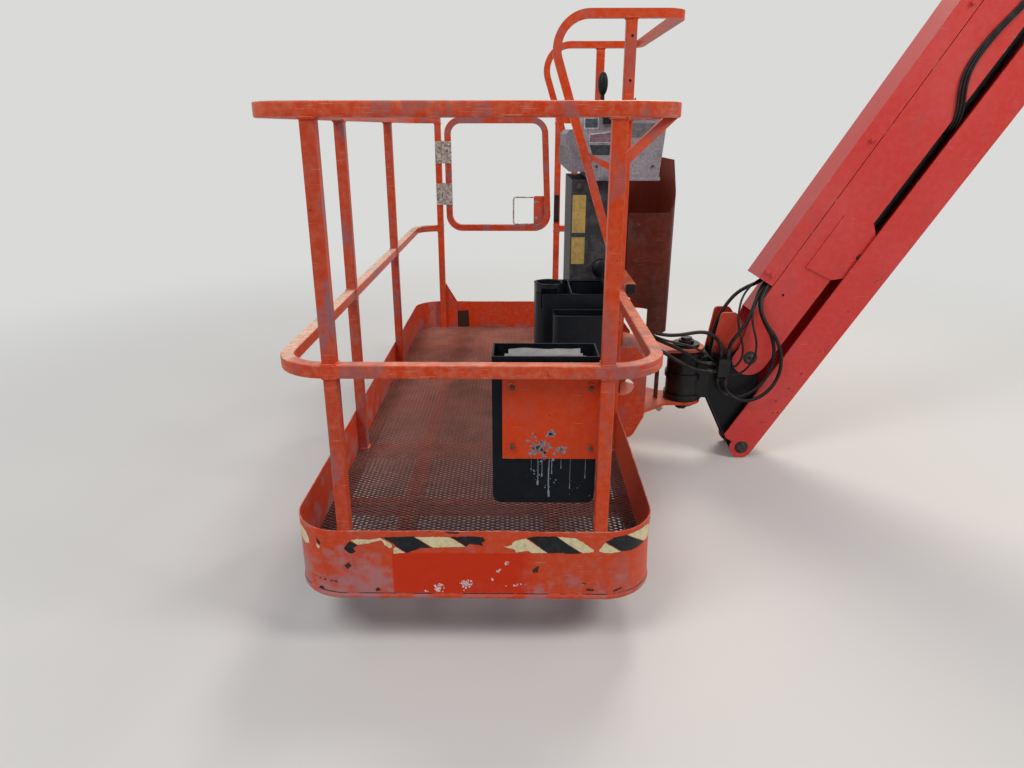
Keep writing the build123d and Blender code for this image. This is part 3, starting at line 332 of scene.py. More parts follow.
# the section: height, and distance out from the sheet's outer face
bead_rows = [(0.0, -0.0006), (0.002, 0.0008), (0.005, 0.0016), (0.009, 0.0016), (0.012, 0.0009),
             (0.0136, 0.0), (0.0145, -0.0012), (0.0155, 0.0)]
outer_rows = bead_rows + [(0.022 + 0.0093 * i, 0.0) for i in range(18)] + [(0.1895, 0.0), (0.1925, -0.0003)]
steps = 560
toe_points = []
toe_faces = []
for i in range(steps):
    s = outline_length * i / steps
    x, y, nx, ny = along_toe_board(s)
    top_wave = 0.0016 * noise.noise(Vector((s * 7, 0.3, 0.1)))
    ring = [(z, out - toe_dent(s, z)) for z, out in outer_rows]
    ring.append((toe_height, -toe_sheet / 2 - toe_dent(s, toe_height)))
    ring += [(z, -toe_sheet - toe_dent(s, z)) for z in (0.1925, 0.17, 0.14, 0.11, 0.08, 0.05, 0.02, 0.0045)]
    ring += [(0.003, -toe_sheet - 0.0015), (0.003, -toe_flange), (0.0, -toe_flange)]
    for z, out in ring:
        rise = top_wave * max(0.0, (z - 0.15) / 0.043)
        toe_points.append(from_platform((x + nx * out) * 1000, (y + ny * out) * 1000, (z + rise) * 1000))
around = len(toe_points) // steps
for i in range(steps):
    for j in range(around):
        a, b = i * around + j, i * around + (j + 1) % around
        c, d = ((i + 1) % steps) * around + (j + 1) % around, ((i + 1) % steps) * around + j
        toe_faces.append((a, d, c, b))
toe_enamel, tree, shader, paint, place = weathered_enamel(
    "orange_enamel_on_toe_board", "#D03E0C", "#CE4620", "#C88070", "#BDB0A6", "#2E120C", wear=0.9,
    scuffed=0.25)
# under a plate that has come off, the middle of the near end kept its deep fresh orange
where = add_node(tree, "SeparateXYZ", {0: place["Object"]}).outputs
# its limits: axis, where it starts and where it is full
lost_plate = [("X", -2.3445, -2.3405), ("X", -1.985, -2.025), ("Y", -1.212, -1.216), ("Z", -1.706, -1.702),
              ("Z", -1.586, -1.590)]
limits = [add_node(tree, "MapRange", {"Value": where[axis], "From Min": outside, "From Max": inside})
          for axis, outside, inside in lost_plate]
kept = limits[0]
for limit in limits[1:] + [0.92]:
    kept = add_node(tree, "Math", {0: kept, 1: limit}, operation="MULTIPLY")
deep = add_node(tree, "Mix", {"Factor": kept, 6: paint, 7: "#CE2E00"}, data_type="RGBA")
# grey scuffs low down and most of all left of that place, and rust in the seam above the bead
scuff_noise = add_node(tree, "TexNoise", {"Vector": place["Object"], "Scale": 17.0, "Detail": 6.0,
                                          "Roughness": 0.62})
low_down = add_node(tree, "MapRange", {"Value": where["Z"], "From Min": -1.60, "From Max": -1.70,
                                       "To Max": 0.16})
leftward = add_node(tree, "MapRange", {"Value": where["X"], "From Min": -2.32, "From Max": -2.42,
                                       "To Max": 0.11})
corners = add_node(tree, "Math", {0: low_down, 1: leftward}, operation="ADD")
scuff_sum = add_node(tree, "Math", {0: scuff_noise, 1: corners}, operation="ADD")
scuff = add_node(tree, "MapRange", {"Value": scuff_sum, "From Min": 0.62, "From Max": 0.78, "To Max": 0.55})
free = add_node(tree, "Math", {0: 1.0, 1: kept}, operation="SUBTRACT")
scuffs = add_node(tree, "Math", {0: scuff, 1: free}, operation="MULTIPLY")
scuffed = add_node(tree, "Mix", {"Factor": scuffs, 6: deep, 7: "#9D8A90"}, data_type="RGBA")
above_seam = add_node(tree, "MapRange", {"Value": where["Z"], "From Min": -1.7035,
                                         "From Max": -1.7050})
below_seam = add_node(tree, "MapRange", {"Value": where["Z"], "From Min": -1.7078,
                                         "From Max": -1.7066})
seam = add_node(tree, "Math", {0: above_seam, 1: below_seam}, operation="MULTIPLY")
broken = add_node(tree, "MapRange", {"Value": scuff_noise, "From Min": 0.40, "From Max": 0.5})
seam_rust = add_node(tree, "Math", {0: seam, 1: broken}, operation="MULTIPLY")
finish = add_node(tree, "Mix", {"Factor": seam_rust, 6: scuffed, 7: "#2A0F0A"}, data_type="RGBA")
feed(tree, shader, {"Base Color": finish})
bent_toe_board = finished_mesh("bent_toe_board", (toe_points, toe_faces), toe_enamel,
                               "platform")
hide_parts("toe_board")


def above_toe_board(lift):
    """A function that puts points, in millimetres round and up, just off the outer face."""
    return lambda x, z: on_toe_board(x / 1000, z / 1000, lift)


# Hazard tape: two-inch vinyl tape in black and cream bars that was stuck round the toe
# board. Only torn remains are left, so each one is a thin sheet with a ragged outline.
tape_outlines = {
    "tape_black": [
        [(-300, 165), (-282, 153), (-293, 144), (-287, 134), (-300, 129), (-311, 137), (-316, 144),
         (-308, 155)],
        [(-219, 176), (-144, 178), (-99, 146), (-126, 146), (-144, 139), (-162, 132), (-187, 150),
         (-194, 159)],
        [(-52, 177), (-4, 180), (24, 178), (33, 169), (23, 162), (26, 153), (8, 157), (-7, 160), (-15, 151)],
        [(133, 176), (151, 180), (205, 180), (267, 134), (249, 132), (220, 134), (184, 134)],
        [(325, 166), (345, 178), (378, 180), (449, 134), (420, 131), (394, 132), (368, 136)],
        [(-389, 167), (-378, 156), (-378, 147), (-387, 154)],
    ],
    "tape_cream": [
        [(-297, 167), (-279, 170), (-249, 169), (-224, 174), (-220, 168), (-238, 164), (-253, 158),
         (-268, 156), (-281, 154)],
        [(-224, 173), (-217, 170), (-196, 155), (-197, 147), (-203, 145), (-216, 154), (-219, 163)],
        [(-193, 145), (-187, 148), (-165, 132), (-195, 129)],
        [(-143, 177), (-128, 175), (-54, 176), (-17, 151), (-40, 149), (-97, 147)],
        [(73, 155), (83, 152), (96, 156), (102, 166), (111, 169), (131, 175), (142, 166), (183, 134),
         (145, 134), (136, 140), (108, 135), (104, 144), (89, 147)],
        [(206, 180), (251, 176), (266, 167), (298, 143), (296, 138), (269, 135), (237, 156)],
        [(324, 164), (365, 136), (335, 134), (311, 138), (310, 143)],
        [(380, 180), (415, 181), (448, 181), (476, 172), (486, 150), (478, 135), (451, 135)],
        [(-474, 168), (-452, 177), (-428, 170), (-417, 156), (-416, 140), (-436, 133), (-462, 140)],
        [(-390, 149), (-379, 144), (-384, 134), (-389, 139)],
    ],
}
tape_colours = {"tape_black": ("#070B10", "#2C363E"), "tape_cream": ("#E0D2A6", "#B7A47C")}
torn = random.Random(4)


def torn_sheet(outline, place_on, pitch=7.0):
    """A thin sheet with a ragged edge, laid on a surface. The outline is in millimetres."""
    ragged = 0.8
    rim = []
    for (x0, y0), (x1, y1) in zip(outline, outline[1:] + outline[:1]):
        parts = max(1, int(math.hypot(x1 - x0, y1 - y0) / 4))
        for k in range(parts):
            rim.append(Vector((x0 + (x1 - x0) * k / parts + torn.uniform(-ragged, ragged),
                               y0 + (y1 - y0) * k / parts + torn.uniform(-ragged, ragged))))
    count = len(rim)
    low = (min(p.x for p in rim), min(p.y for p in rim))
    high = (max(p.x for p in rim), max(p.y for p in rim))
    inner = [Vector((low[0] + i * pitch, low[1] + j * pitch))
             for i in range(1, int((high[0] - low[0]) / pitch) + 1)
             for j in range(1, int((high[1] - low[1]) / pitch) + 1)]
    flat, _, faces = geometry.delaunay_2d_cdt(
        rim + inner, [(k, (k + 1) % count) for k in range(count)], [list(range(count))], 1, 1e-5)[:3]
    return [place_on(p.x, p.y) for p in flat], [tuple(f) for f in faces]


def joined(parts):
    """One list of points and one of faces from several."""
    points, faces = [], []
    for more_points, more_faces in parts:
        first = len(points)
        points += more_points
        faces += [tuple(first + i for i in face) for face in more_faces]
    return points, faces


for name, outlines in tape_outlines.items():
    clean, dirty = tape_colours[name]
    vinyl, tree, shader, place = new_material("vinyl_" + name)
    grime = add_node(tree, "TexNoise", {"Vector": place["Object"], "Scale": 90.0, "Detail": 7.0,
                                        "Roughness": 0.7})
    grimy = add_node(tree, "MapRange", {"Value": grime, "From Min": 0.5, "From Max": 0.75})
    colour = add_node(tree, "Mix", {"Factor": grimy, 6: clean, 7: dirty}, data_type="RGBA")
    feed(tree, shader, {"Base Color": colour})
    gloss = add_node(tree, "MapRange", {"Value": grime, "To Min": 0.3, "To Max": 0.7})
    feed(tree, shader, {"Roughness": gloss, "Specular IOR Level": 0.3})
    sheets = [torn_sheet(outline, above_toe_board(0.0007)) for outline in outlines]
    finished_mesh("hazard_" + name, joined(sheets), vinyl, "platform")

# Splashes of white wall paint on the toe board: drops of emulsion that dried where they
# fell, each splash a handful of small flat blots. Chips in the board's own paint follow.
def flecked_finish(name, colour, flecks, scale, detail, rough):
    """A matt finish flecked with a second colour."""
    material, tree, shader, place = new_material(name)
    spots = add_node(tree, "TexNoise", {"Vector": place["Object"], "Scale": scale, "Detail": detail})
    mottled = add_node(tree, "Mix", {"Factor": spots, 6: colour, 7: flecks}, data_type="RGBA")
    feed(tree, shader, {"Base Color": mottled, "Roughness": rough})
    return material


# chalky, with pores about 4 mm apart through which the orange shows
emulsion = flecked_finish("dried_white_emulsion", "#F0E4E2", "#D8B0AC", 260.0, 4.0, 0.75)
splash = random.Random(11)


def blots(centre_x, centre_z, spread, count, place_on, largest=3.2):
    """Small irregular blots round a centre, in millimetres on a surface."""
    parts = []
    for k in range(count):
        x = centre_x + splash.gauss(0, spread)
        z = centre_z + splash.gauss(0, spread)
        size = splash.uniform(0.5, 1.0) ** 2 * largest
        rim = [(x + size * splash.uniform(0.6, 1.3) * math.cos(a * math.pi / 5),
                z + size * splash.uniform(0.6, 1.3) * math.sin(a * math.pi / 5)) for a in range(10)]
        parts.append(([place_on(*p) for p in rim] + [place_on(x, z)],
                      [(a, (a + 1) % 10, 10) for a in range(10)]))
    return parts


toe_splashes = []
for x, z, spread, count in ((-87, 36, 7, 26), (-90, 30, 4, 12), (-17, 46, 6, 22), (-22, 40, 5, 16),
                            (-6, 41, 3, 8), (83, 104, 3, 9), (63, 82, 4, 9), (48, 58, 2, 7),
                            (-118, 22, 2, 3), (120, 48, 14, 6)):
    toe_splashes += blots(x, z, spread, count, above_toe_board(0.0009))
finished_mesh("paint_splashes_on_toe_board", joined(toe_splashes), emulsion, "platform")

# where the paint has chipped off, the sheet has rusted nearly black in specks of 3 mm
bare_rust = flecked_finish("bare_rusted_steel", "#170A08", "#4A2A1E", 300.0, 6.0, 0.9)
chips = []
for outline in ([(147, 85), (156, 92), (164, 98), (161, 86), (161, 78), (150, 76)],
                [(-318, 96), (-306, 104), (-300, 95), (-311, 84)],
                [(-70, 191), (-30, 191), (-34, 186), (-60, 187)],
                [(-398, 20), (-386, 24), (-380, 17), (-392, 14)],
                [(352, 26), (372, 31), (374, 28), (350, 20)], [(270, 33), (300, 29), (302, 24), (276, 25)],
                [(-246, 26), (-238, 32), (-232, 24), (-242, 20)]):
    chips.append(torn_sheet(outline, above_toe_board(0.0006), pitch=4.0))
# a worn black patch inside the far end, where something was tied to the board
far_end = outline_length / 2
chips.append(torn_sheet([(172, 42), (252, 44), (250, 80), (254, 142), (214, 138), (174, 143), (170, 90)],
                        lambda x, z: on_toe_board(far_end + x / 1000, z / 1000, -toe_sheet - 0.0006),
                        pitch=9.0))
finished_mesh("chips_in_toe_board", joined(chips), bare_rust, "platform")

# Floor: expanded steel, slit and stretched from one sheet and welded to the frame below.
# Painted with the platform and trodden bare since, and its colour carries painted light:
# shade at the near end, sunlight towards the gate. Its diamonds are 28 mm by 15 mm and
# its strands 3 mm wide, so the openings look like flat hexagons.
diamond_long = 0.028
diamond_short = 0.015
strand = 0.0034
mesh_low, mesh_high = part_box("floor_mesh")
strand_top = mesh_high.z + 0.0022
floor_inset = 0.0008
floor_corner = corner_radius - toe_sheet - floor_inset
floor_left = mesh_low.x + floor_inset
floor_right = mesh_high.x - floor_inset
floor_near = mesh_low.y + floor_inset
floor_far = mesh_high.y - floor_inset
floor_middle = (mesh_low + mesh_high) / 2


def inside_floor(x, y):
    """Whether a point lies inside the rounded outline of the floor."""
    dx = abs(x - floor_middle.x) - (floor_right - floor_middle.x - floor_corner)
    dy = abs(y - floor_middle.y) - (floor_far - floor_middle.y - floor_corner)
    if dx > 0 and dy > 0:
        return math.hypot(dx, dy) < floor_corner
    return dx < floor_corner and dy < floor_corner


def cut_to_floor(a, b):
    """The part of a strand that lies on the floor, or nothing."""
    places = [(a[0] + (b[0] - a[0]) * i / 12, a[1] + (b[1] - a[1]) * i / 12) for i in range(13)]
    inner = [p for p in places if inside_floor(*p)]
    return (inner[0], inner[-1]) if len(inner) > 1 else None


strand_points = []
strand_faces = []
rows = int((floor_far - floor_near) / (diamond_short / 2)) + 1
columns = int((floor_right - floor_left) / (diamond_long / 2)) + 2
for row in range(rows + 1):
    base_y = floor_near + row * diamond_short / 2
    for column in range(-1, columns):
        if (row + column) % 2:
            continue
        left_x = floor_left + column * diamond_long / 2
        for turn in (1, -1):
            ends = cut_to_floor((left_x, base_y),
                                (left_x + diamond_long / 2, base_y + turn * diamond_short / 2))
            if not ends:
                continue
            first = len(strand_points)
            for x, y in ends:
                wave = noise.noise(Vector((x * 3, y * 3, 0))) * 0.0006
                for dy, z in ((-strand / 2, mesh_low.z + 0.0003), (strand / 2 + 0.0006, mesh_low.z + 0.0003),
                              (strand / 2 - 0.0004, strand_top - 0.0010), (-strand / 2 - 0.0010, strand_top)):
                    strand_points.append((x, y + dy, z + wave))
            strand_faces += [(first + i, first + (i + 1) % 4, first + 4 + (i + 1) % 4, first + 4 + i)
                             for i in range(4)]
# the chalk colour, which the strands' upward faces take in clouds, is partly sun-chalked paint and partly a
# painted highlight
floor_enamel, tree, shader, paint, place = weathered_enamel(
    "trodden_floor_enamel_with_painted_light", "#4A1A1C", "#2E1A20", "#906C68", "#948480", "#1A0E0E", scuff="#4E3E48",
    gloss=0.36, wear=0.1, shine=0.5)
# painted light: from the near end towards the gate the floor goes over, in trodden patches,
# to a pale pink that is partly bare primer and partly painted sunlight; the dark near end is painted shade
where = add_node(tree, "SeparateXYZ", {0: place["Object"]}).outputs
painted_sunlight_towards_gate = add_node(tree, "MapRange", {"Value": where["Y"], "From Min": -1.0, "From Max": 0.4,
                                           "To Max": 0.95})
tread = add_node(tree, "TexNoise", {"Vector": place["Object"], "Scale": 5.0, "Detail": 6.0,
                                    "Roughness": 0.65})
trodden = add_node(tree, "MapRange", {"Value": tread, "From Min": 0.34, "From Max": 0.58, "To Min": 0.55})
bare = add_node(tree, "Math", {0: painted_sunlight_towards_gate, 1: trodden}, operation="MULTIPLY")
colour = add_node(tree, "Mix", {"Factor": bare, 6: paint, 7: "#D89A88"}, data_type="RGBA")
feed(tree, shader, {"Base Color": colour})
expanded_floor = finished_mesh("expanded_metal_floor", (strand_points, strand_faces), floor_enamel,
                               "platform", sharp_from=30)
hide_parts("floor_mesh")

# Framework: square and round steel tube, bent and welded, sprayed with the same orange
# enamel as the toe board. The sun has chalked it and hands and crates have rubbed it.
orange_enamel = weathered_enamel("orange_enamel", "#D03E0E", "#CC4820", "#DD8A6C", "#CDBDA8", "#35150E",
                                 scuffed=0.45)[0]
framework = [
    "mid_rail_far_right", "top_rail_far_right", "gate_gusset", "gate_hinge_post", "gate_latch_post",
    "gate_latch_plate", "post_near_right", "guard_hoop", "guard_post_far", "guard_post_near", "guard_stay",
    "rail_brace", "support_rail", "platform_bracket", "upper_tongue", "lower_tongue", "floor_frame",
    "top_rail",
]


def dress(material, *names):
    """Puts a material on the solids of these nodes."""
    for name in names:
        nodes[name].material_slots[0].material = material


dress(orange_enamel, *framework)
# straps and crates have rubbed the posts on the open side to a dull lilac grey
rubbed_enamel = weathered_enamel("strap_rubbed_enamel", "#C43C14", "#B8442A", "#D08A74", "#CDBDA8", "#35150E",
                                 scuff="#8A6870", scuffed=0.8, wear=0.9)[0]
dress(rubbed_enamel, "post_near_left", "post_left_near", "post_left_far", "gate_frame")

# Top rail: 32 mm square steel tube bent round the platform, from the controls to the gate.
# It is a piece of its own here, because the real one is dented: its near right bend is
# pushed flat and creased where it has met a wall.
tube = 0.032
tube_corner = 0.004
rail_bend = corner_radius - tube / 2
rail_low, rail_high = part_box("top_rail")
rail_level = (rail_low.z + rail_high.z) / 2
post_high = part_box("gate_hinge_post")[1]
guard_post_low, guard_post_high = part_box("guard_post_near")


def bent_line(corners, bend, pitch):
    """Places and directions along straight runs joined by bends, in one level plane."""
    stations = []
    for i, corner in enumerate(corners):
        if i in (0, len(corners) - 1):
            stations.append(corner.copy())
            continue
        into = (corner - corners[i - 1]).normalized()
        out_of = (corners[i + 1] - corner).normalized()
        centre = corner - into * bend + out_of * bend
        for k in range(13):
            turn = math.pi / 2 * k / 12
            stations.append(centre - out_of * bend * math.cos(turn) + into * bend * math.sin(turn))
    places = []
    for a, b in zip(stations, stations[1:]):
        parts = max(1, round((b - a).length / pitch))
        places += [a.lerp(b, k / parts) for k in range(parts)]
    places.append(stations[-1])
    last = len(places) - 1
    ways = [(places[min(i + 1, last)] - places[max(i - 1, 0)]).normalized() for i in range(last + 1)]
    return list(zip(places, ways))


def square_section(side, corner):
    """A square outline with rounded corners, round its middle."""
    outline = []
    for k in range(4):
        middle = math.pi / 4 + k * math.pi / 2
        flat = (side / 2 - corner) * math.sqrt(2)
        outline += [(flat * math.cos(middle) + corner * math.cos(middle + turn),
                     flat * math.sin(middle) + corner * math.sin(middle + turn))
                    for turn in (-math.pi / 4, 0, math.pi / 4)]
        start = outline[-1]
        after = math.pi / 4 + (k + 1) * math.pi / 2
        end = (flat * math.cos(after) + corner * math.cos(after - math.pi / 4),
               flat * math.sin(after) + corner * math.sin(after - math.pi / 4))
        outline += [(start[0] + (end[0] - start[0]) * t, start[1] + (end[1] - start[1]) * t)
                    for t in (0.25, 0.5, 0.75)]
    return outline


def rings_to_faces(rings, around, closed=False):
    """Faces between rings of points, with a cap at each end unless they close."""
    faces = []
    for i in range(rings if closed else rings - 1):
        for j in range(around):
            a, b = i * around + j, i * around + (j + 1) % around
            after = ((i + 1) % rings) * around
            faces.append((a, b, after + (j + 1) % around, after + j))
    if not closed:
        faces += [tuple(reversed(range(around))), tuple(range((rings - 1) * around, rings * around))]
    return faces


# dents: place, reach along the rail, how far in and up it pushes
rail_dents = [
    (Vector((rail_high.x, rail_low.y + 0.06, rail_level)), 0.060, -0.011, -0.005),
    (Vector((rail_high.x - 0.05, rail_low.y, rail_level)), 0.036, -0.009, 0.005),
    (Vector((rail_low.x + 0.03, rail_low.y + 0.02, rail_level)), 0.050, -0.004, 0.002),
    (Vector((rail_low.x + 0.21, rail_low.y, rail_level)), 0.040, -0.003, 0.0),
    (Vector((rail_low.x, -0.35, rail_level)), 0.120, -0.005, 0.003),
    (Vector((rail_low.x, 0.62, rail_level)), 0.080, -0.004, -0.002),
    (Vector((rail_high.x, -0.80, rail_level)), 0.070, -0.004, -0.003),
]
rail_corners = [
    Vector((rail_high.x - tube / 2, guard_post_low.y, rail_level)),
    Vector((rail_high.x - tube / 2, rail_low.y + tube / 2, rail_level)),
    Vector((rail_low.x + tube / 2, rail_low.y + tube / 2, rail_level)),
    Vector((rail_low.x + tube / 2, rail_high.y - tube / 2, rail_level)),
    Vector((post_high.x, rail_high.y - tube / 2, rail_level)),
]
section = square_section(tube, tube_corner)
rail_points = []
stations = bent_line(rail_corners, rail_bend, 0.010)
for place, way in stations:
    outward = Vector((-way.y, way.x, 0))
    for across, up in section:
        point = place - outward * across + Vector((0, 0, up))
        facing = max(0.0, across / (tube / 2))
        for where, reach, push_in, push_up in rail_dents:
            near = math.exp(-((place - where).length / reach) ** 2)
            crease = 1 - abs(up + 0.004) / (tube / 2)
            point += outward * (-push_in * near * facing * crease)
            point.z += push_up * near * facing * 0.5
        rail_points.append(point)
# weathered again with more wear than the posts, for the rail that hands and walls rub
rail_enamel, tree, shader, paint, place = weathered_enamel(
    "rubbed_rail_enamel", "#CA3C10", "#CB4A26", "#E2A68C", "#D8C7B4", "#35150E", wear=1.2, scuffed=0.6)
# on the open side the rails are worn to cream primer on top, with scratches right across
where = add_node(tree, "SeparateXYZ", {0: place["Object"]}).outputs
open_side = add_node(tree, "MapRange", {"Value": where["X"], "From Min": -2.545,
                                        "From Max": -2.562})
way = add_node(tree, "SeparateXYZ", {0: place["Normal"]}).outputs
on_top = add_node(tree, "MapRange", {"Value": way["Z"], "From Min": 0.35, "From Max": 0.8})
across_rail = add_node(tree, "Mapping", {"Vector": place["Object"], "Scale": (50, 380, 50)})
rubs = add_node(tree, "TexNoise", {"Vector": across_rail, "Scale": 1.0, "Detail": 4.0, "Roughness": 0.6})
streak = add_node(tree, "MapRange", {"Value": rubs, "From Min": 0.44, "From Max": 0.54, "To Min": 0.10,
                                     "To Max": 0.9})
worn = streak
for limit in (open_side, on_top):
    worn = add_node(tree, "Math", {0: worn, 1: limit}, operation="MULTIPLY")
colour = add_node(tree, "Mix", {"Factor": worn, 6: paint, 7: "#E4D2BA"}, data_type="RGBA")
feed(tree, shader, {"Base Color": colour})
dented_rail = finished_mesh("dented_top_rail", (rail_points, rings_to_faces(len(stations), len(section))),
                            rail_enamel, "platform")
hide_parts("top_rail")
dress(rail_enamel, "mid_rail")

# Weld beads: every post is welded round to the rails by hand, and the beads are left
# lumpy. A bead reaches about 4 mm to each side of its seam, in uneven ripples.
weld_bead_size = 0.0042
ripple = random.Random(7)


def weld_round(corners, closed=True, size=weld_bead_size):
    """A lumpy bead along a line of corners."""
    path = []
    ends = zip(corners, corners[1:] + corners[:1]) if closed else zip(corners, corners[1:])
    for a, b in ends:
        parts = max(2, int((b - a).length / 0.004))
        path += [a.lerp(b, k / parts) for k in range(parts)]
    if not closed:
        path.append(corners[-1])
    points = []
    count = len(path)
    for i, place in enumerate(path):
        before = path[i - 1] if closed or i else place
        after = path[(i + 1) % count] if closed or i < count - 1 else place
        way = (after - before).normalized()
        side = way.cross(Vector((0.31, 0.17, 0.93))).normalized()
        rise = way.cross(side)
        radius = size * ripple.uniform(0.75, 1.15)
        points += [place + (side * math.cos(t * math.pi / 3) + rise * math.sin(t * math.pi / 3)) * radius
                   for t in range(6)]
    return points, rings_to_faces(count, 6, closed=closed)


def square_ring(x0, y0, x1, y1, z):
    """The corners of a level rectangle."""
    return [Vector((x0, y0, z)), Vector((x1, y0, z)), Vector((x1, y1, z)), Vector((x0, y1, z))]


beads = []
mid_low, mid_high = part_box("mid_rail")
for name in ("post_near_left", "post_near_right", "post_left_near", "post_left_far", "gate_hinge_post",
             "gate_latch_post"):
    low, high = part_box(name)
    beads.append(weld_round(square_ring(low.x, low.y, high.x, high.y, rail_low.z)))
    # at the foot the bead stays inside the toe board
    foot = [Vector((max(mesh_low.x + 0.006, min(mesh_high.x - 0.006, p.x)),
                    max(mesh_low.y + 0.006, min(mesh_high.y - 0.006, p.y)), p.z))
            for p in square_ring(low.x, low.y, high.x, high.y, strand_top)]
    beads.append(weld_round(foot))
    for level in (mid_low.z, mid_high.z):
        ring = square_ring(low.x, low.y, high.x, high.y, level)
        beads.append(weld_round(ring + ring[:1], closed=False, size=0.003))
for name in ("guard_post_near", "guard_post_far"):
    low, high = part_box(name)
    beads.append(weld_round(square_ring(low.x, low.y, high.x, high.y, high.z)))
    beads.append(weld_round(square_ring(low.x, low.y, high.x, high.y, low.z + 0.001)))
    for level in (mid_low.z, mid_high.z, rail_low.z, rail_high.z):
        side = low.y if name == "guard_post_near" else high.y
        beads.append(weld_round([Vector((low.x, side, level)), Vector((high.x, side, level))], closed=False))
finished_mesh("weld_beads", joined(beads), orange_enamel, "platform")

# Holes: the near tall post has three drain and wiring holes 8 mm across in its near face,
# drilled before it was sprayed. Each is a flat disc of painted shade, nearly black, for the inside of the
# tube.
hole_shade = flecked_finish("painted_shade_inside_holes", "#0C0404", "#1C0A08", 500.0, 2.0, 1.0)


def circle(centre, axis, radius, sides):
    """Points round an axis, which is a unit vector."""
    side = axis.orthogonal().normalized()
    rise = axis.cross(side)
    turns = [2 * math.pi * k / sides for k in range(sides)]
    return [centre + (side * math.cos(t) + rise * math.sin(t)) * radius for t in turns]


def disc(centre, axis, radius):
    """A round patch that faces along an axis."""
    sides = 20
    rim = circle(centre, axis.normalized(), radius, sides)
    return rim + [centre], [(k, (k + 1) % sides, sides) for k in range(sides)]


near_face = Vector((0, -1, 0))
holes = []
for level in (-0.355, -0.475, -0.62):
    at = Vector(((guard_post_low.x + guard_post_high.x) / 2 + 0.002, guard_post_low.y - 0.0003, level))
    holes.append(disc(at, near_face, 0.004))
finished_mesh("post_holes", joined(holes), hole_shade, "platform")

# Gate hinges and latch: zinc-plated steel, its plating worn dull and spotted. The hinge
# leaves are screwed to post and gate, and the pull rod hooks behind the latch post.
def mottled_metal(name, light, dark, rust, rough, metallic, rusted=0.5):
    """Bare or plated steel with cloudy tarnish and spots of rust."""
    material, tree, shader, place = new_material(name)
    spot = place["Object"]
    # spangle and tarnish about 12 mm across
    clouds = add_node(tree, "TexNoise", {"Vector": spot, "Scale": 85.0, "Detail": 6.0, "Roughness": 0.7})
    tarnish = add_node(tree, "MapRange", {"Value": clouds, "From Min": 0.36, "From Max": 0.64})
    body = add_node(tree, "Mix", {"Factor": tarnish, 6: light, 7: dark}, data_type="RGBA")
    # rust in blooms about 15 mm across
    blooms = add_node(tree, "TexNoise", {"Vector": spot, "Scale": 60.0, "Detail": 7.0, "Roughness": 0.7})
    bloom = add_node(tree, "MapRange", {"Value": blooms, "From Min": 0.72 - 0.24 * rusted,
                                        "From Max": 0.80 - 0.20 * rusted})
    rusty = add_node(tree, "Mix", {"Factor": bloom, 6: body, 7: rust}, data_type="RGBA")
    feed(tree, shader, {"Base Color": rusty})
    bright = add_node(tree, "MapRange", {"Value": bloom, "To Min": metallic, "To Max": 0.1})
    feed(tree, shader, {"Metallic": bright})
    level = add_node(tree, "Math", {0: tarnish, 1: bloom}, operation="MAXIMUM")
    matt = add_node(tree, "MapRange", {"Value": level, "To Min": rough, "To Max": 0.75})
    feed(tree, shader, {"Roughness": matt})
    relief = add_node(tree, "Bump", {"Height": blooms, "Strength": 0.4, "Distance": 0.0005})
    feed(tree, shader, {"Normal": relief})
    return material


worn_zinc = mottled_metal("worn_zinc_plate", "#D8CEC8", "#857C7A", "#5A4038", 0.45, 0.55, rusted=0.8)
dress(worn_zinc, "gate_hinge_post_leaves", "gate_hinge_gate_leaves", "gate_pull_rod", "gate_hinge_pins")


def slab(outline, along, depth, edge=0.0005):
    """A flat plate from an outline of points, as thick as depth, with its outer edge eased."""
    along = along.normalized()
    middle = sum(outline, Vector()) / len(outline)
    count = len(outline)
    inner = [p + (middle - p).normalized() * edge for p in outline]
    points = outline + [p + along * (depth - edge) for p in outline] + [p + along * depth for p in inner]
    faces = [(k, (k + 1) % count, count + (k + 1) % count, count + k) for k in range(count)]
    faces += [(count + k, count + (k + 1) % count, 2 * count + (k + 1) % count, 2 * count + k)
              for k in range(count)]
    faces += [tuple(range(2 * count, 3 * count)), tuple(reversed(range(count)))]
    return points, faces


def turned(foot, along, profile, sides=24):
    """A turned piece: profile gives distances along the axis and radii."""
    along = along.normalized()
    points = []
    for at, radius in profile:
        points += circle(foot + along * at, along, radius, sides)
    return points, rings_to_faces(len(profile), sides)


def hex_bolt(foot, along, across=0.013, washer=True):
    """A hex head with a washer: across is the size over the flats."""
    along = along.normalized()
    parts = []
    head_foot = foot
    if washer:
        rim = across * 0.95
        parts.append(turned(foot, along, [(0, rim), (0.0014, rim), (0.0019, rim - 0.0006), (0.0019, 0.001)]))
        head_foot = foot + along * 0.0019
    outline = circle(head_foot, along, across / math.sqrt(3), 6)
    parts.append(slab(outline, along, across * 0.55, edge=0.0012))
    return joined(parts)


hinge_height = 0.110
leaf_low, leaf_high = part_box("gate_hinge_post_leaves")
gate_leaf_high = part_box("gate_hinge_gate_leaves")[1]
hinge_levels = (leaf_low.z + hinge_height / 2, leaf_high.z - hinge_height / 2)
post_screws = []
gate_screws = []
screw_head = [(0, 0.006), (0.0015, 0.0056), (0.003, 0.0035), (0.0034, 0.001)]
leaf_face = 1.1792
for level in hinge_levels:
    for drop in (-0.036, 0.036):
        post_foot = Vector((leaf_low.x + 0.014, leaf_face, level + drop))
        post_screws.append(turned(post_foot, near_face, screw_head, 16))
        gate_foot = Vector((gate_leaf_high.x - 0.012, leaf_face, level + drop))
        gate_screws.append(turned(gate_foot, near_face, screw_head, 16))
finished_mesh("hinge_post_screws", joined(post_screws), worn_zinc, "platform")
finished_mesh("hinge_gate_screws", joined(gate_screws), worn_zinc, "gate")
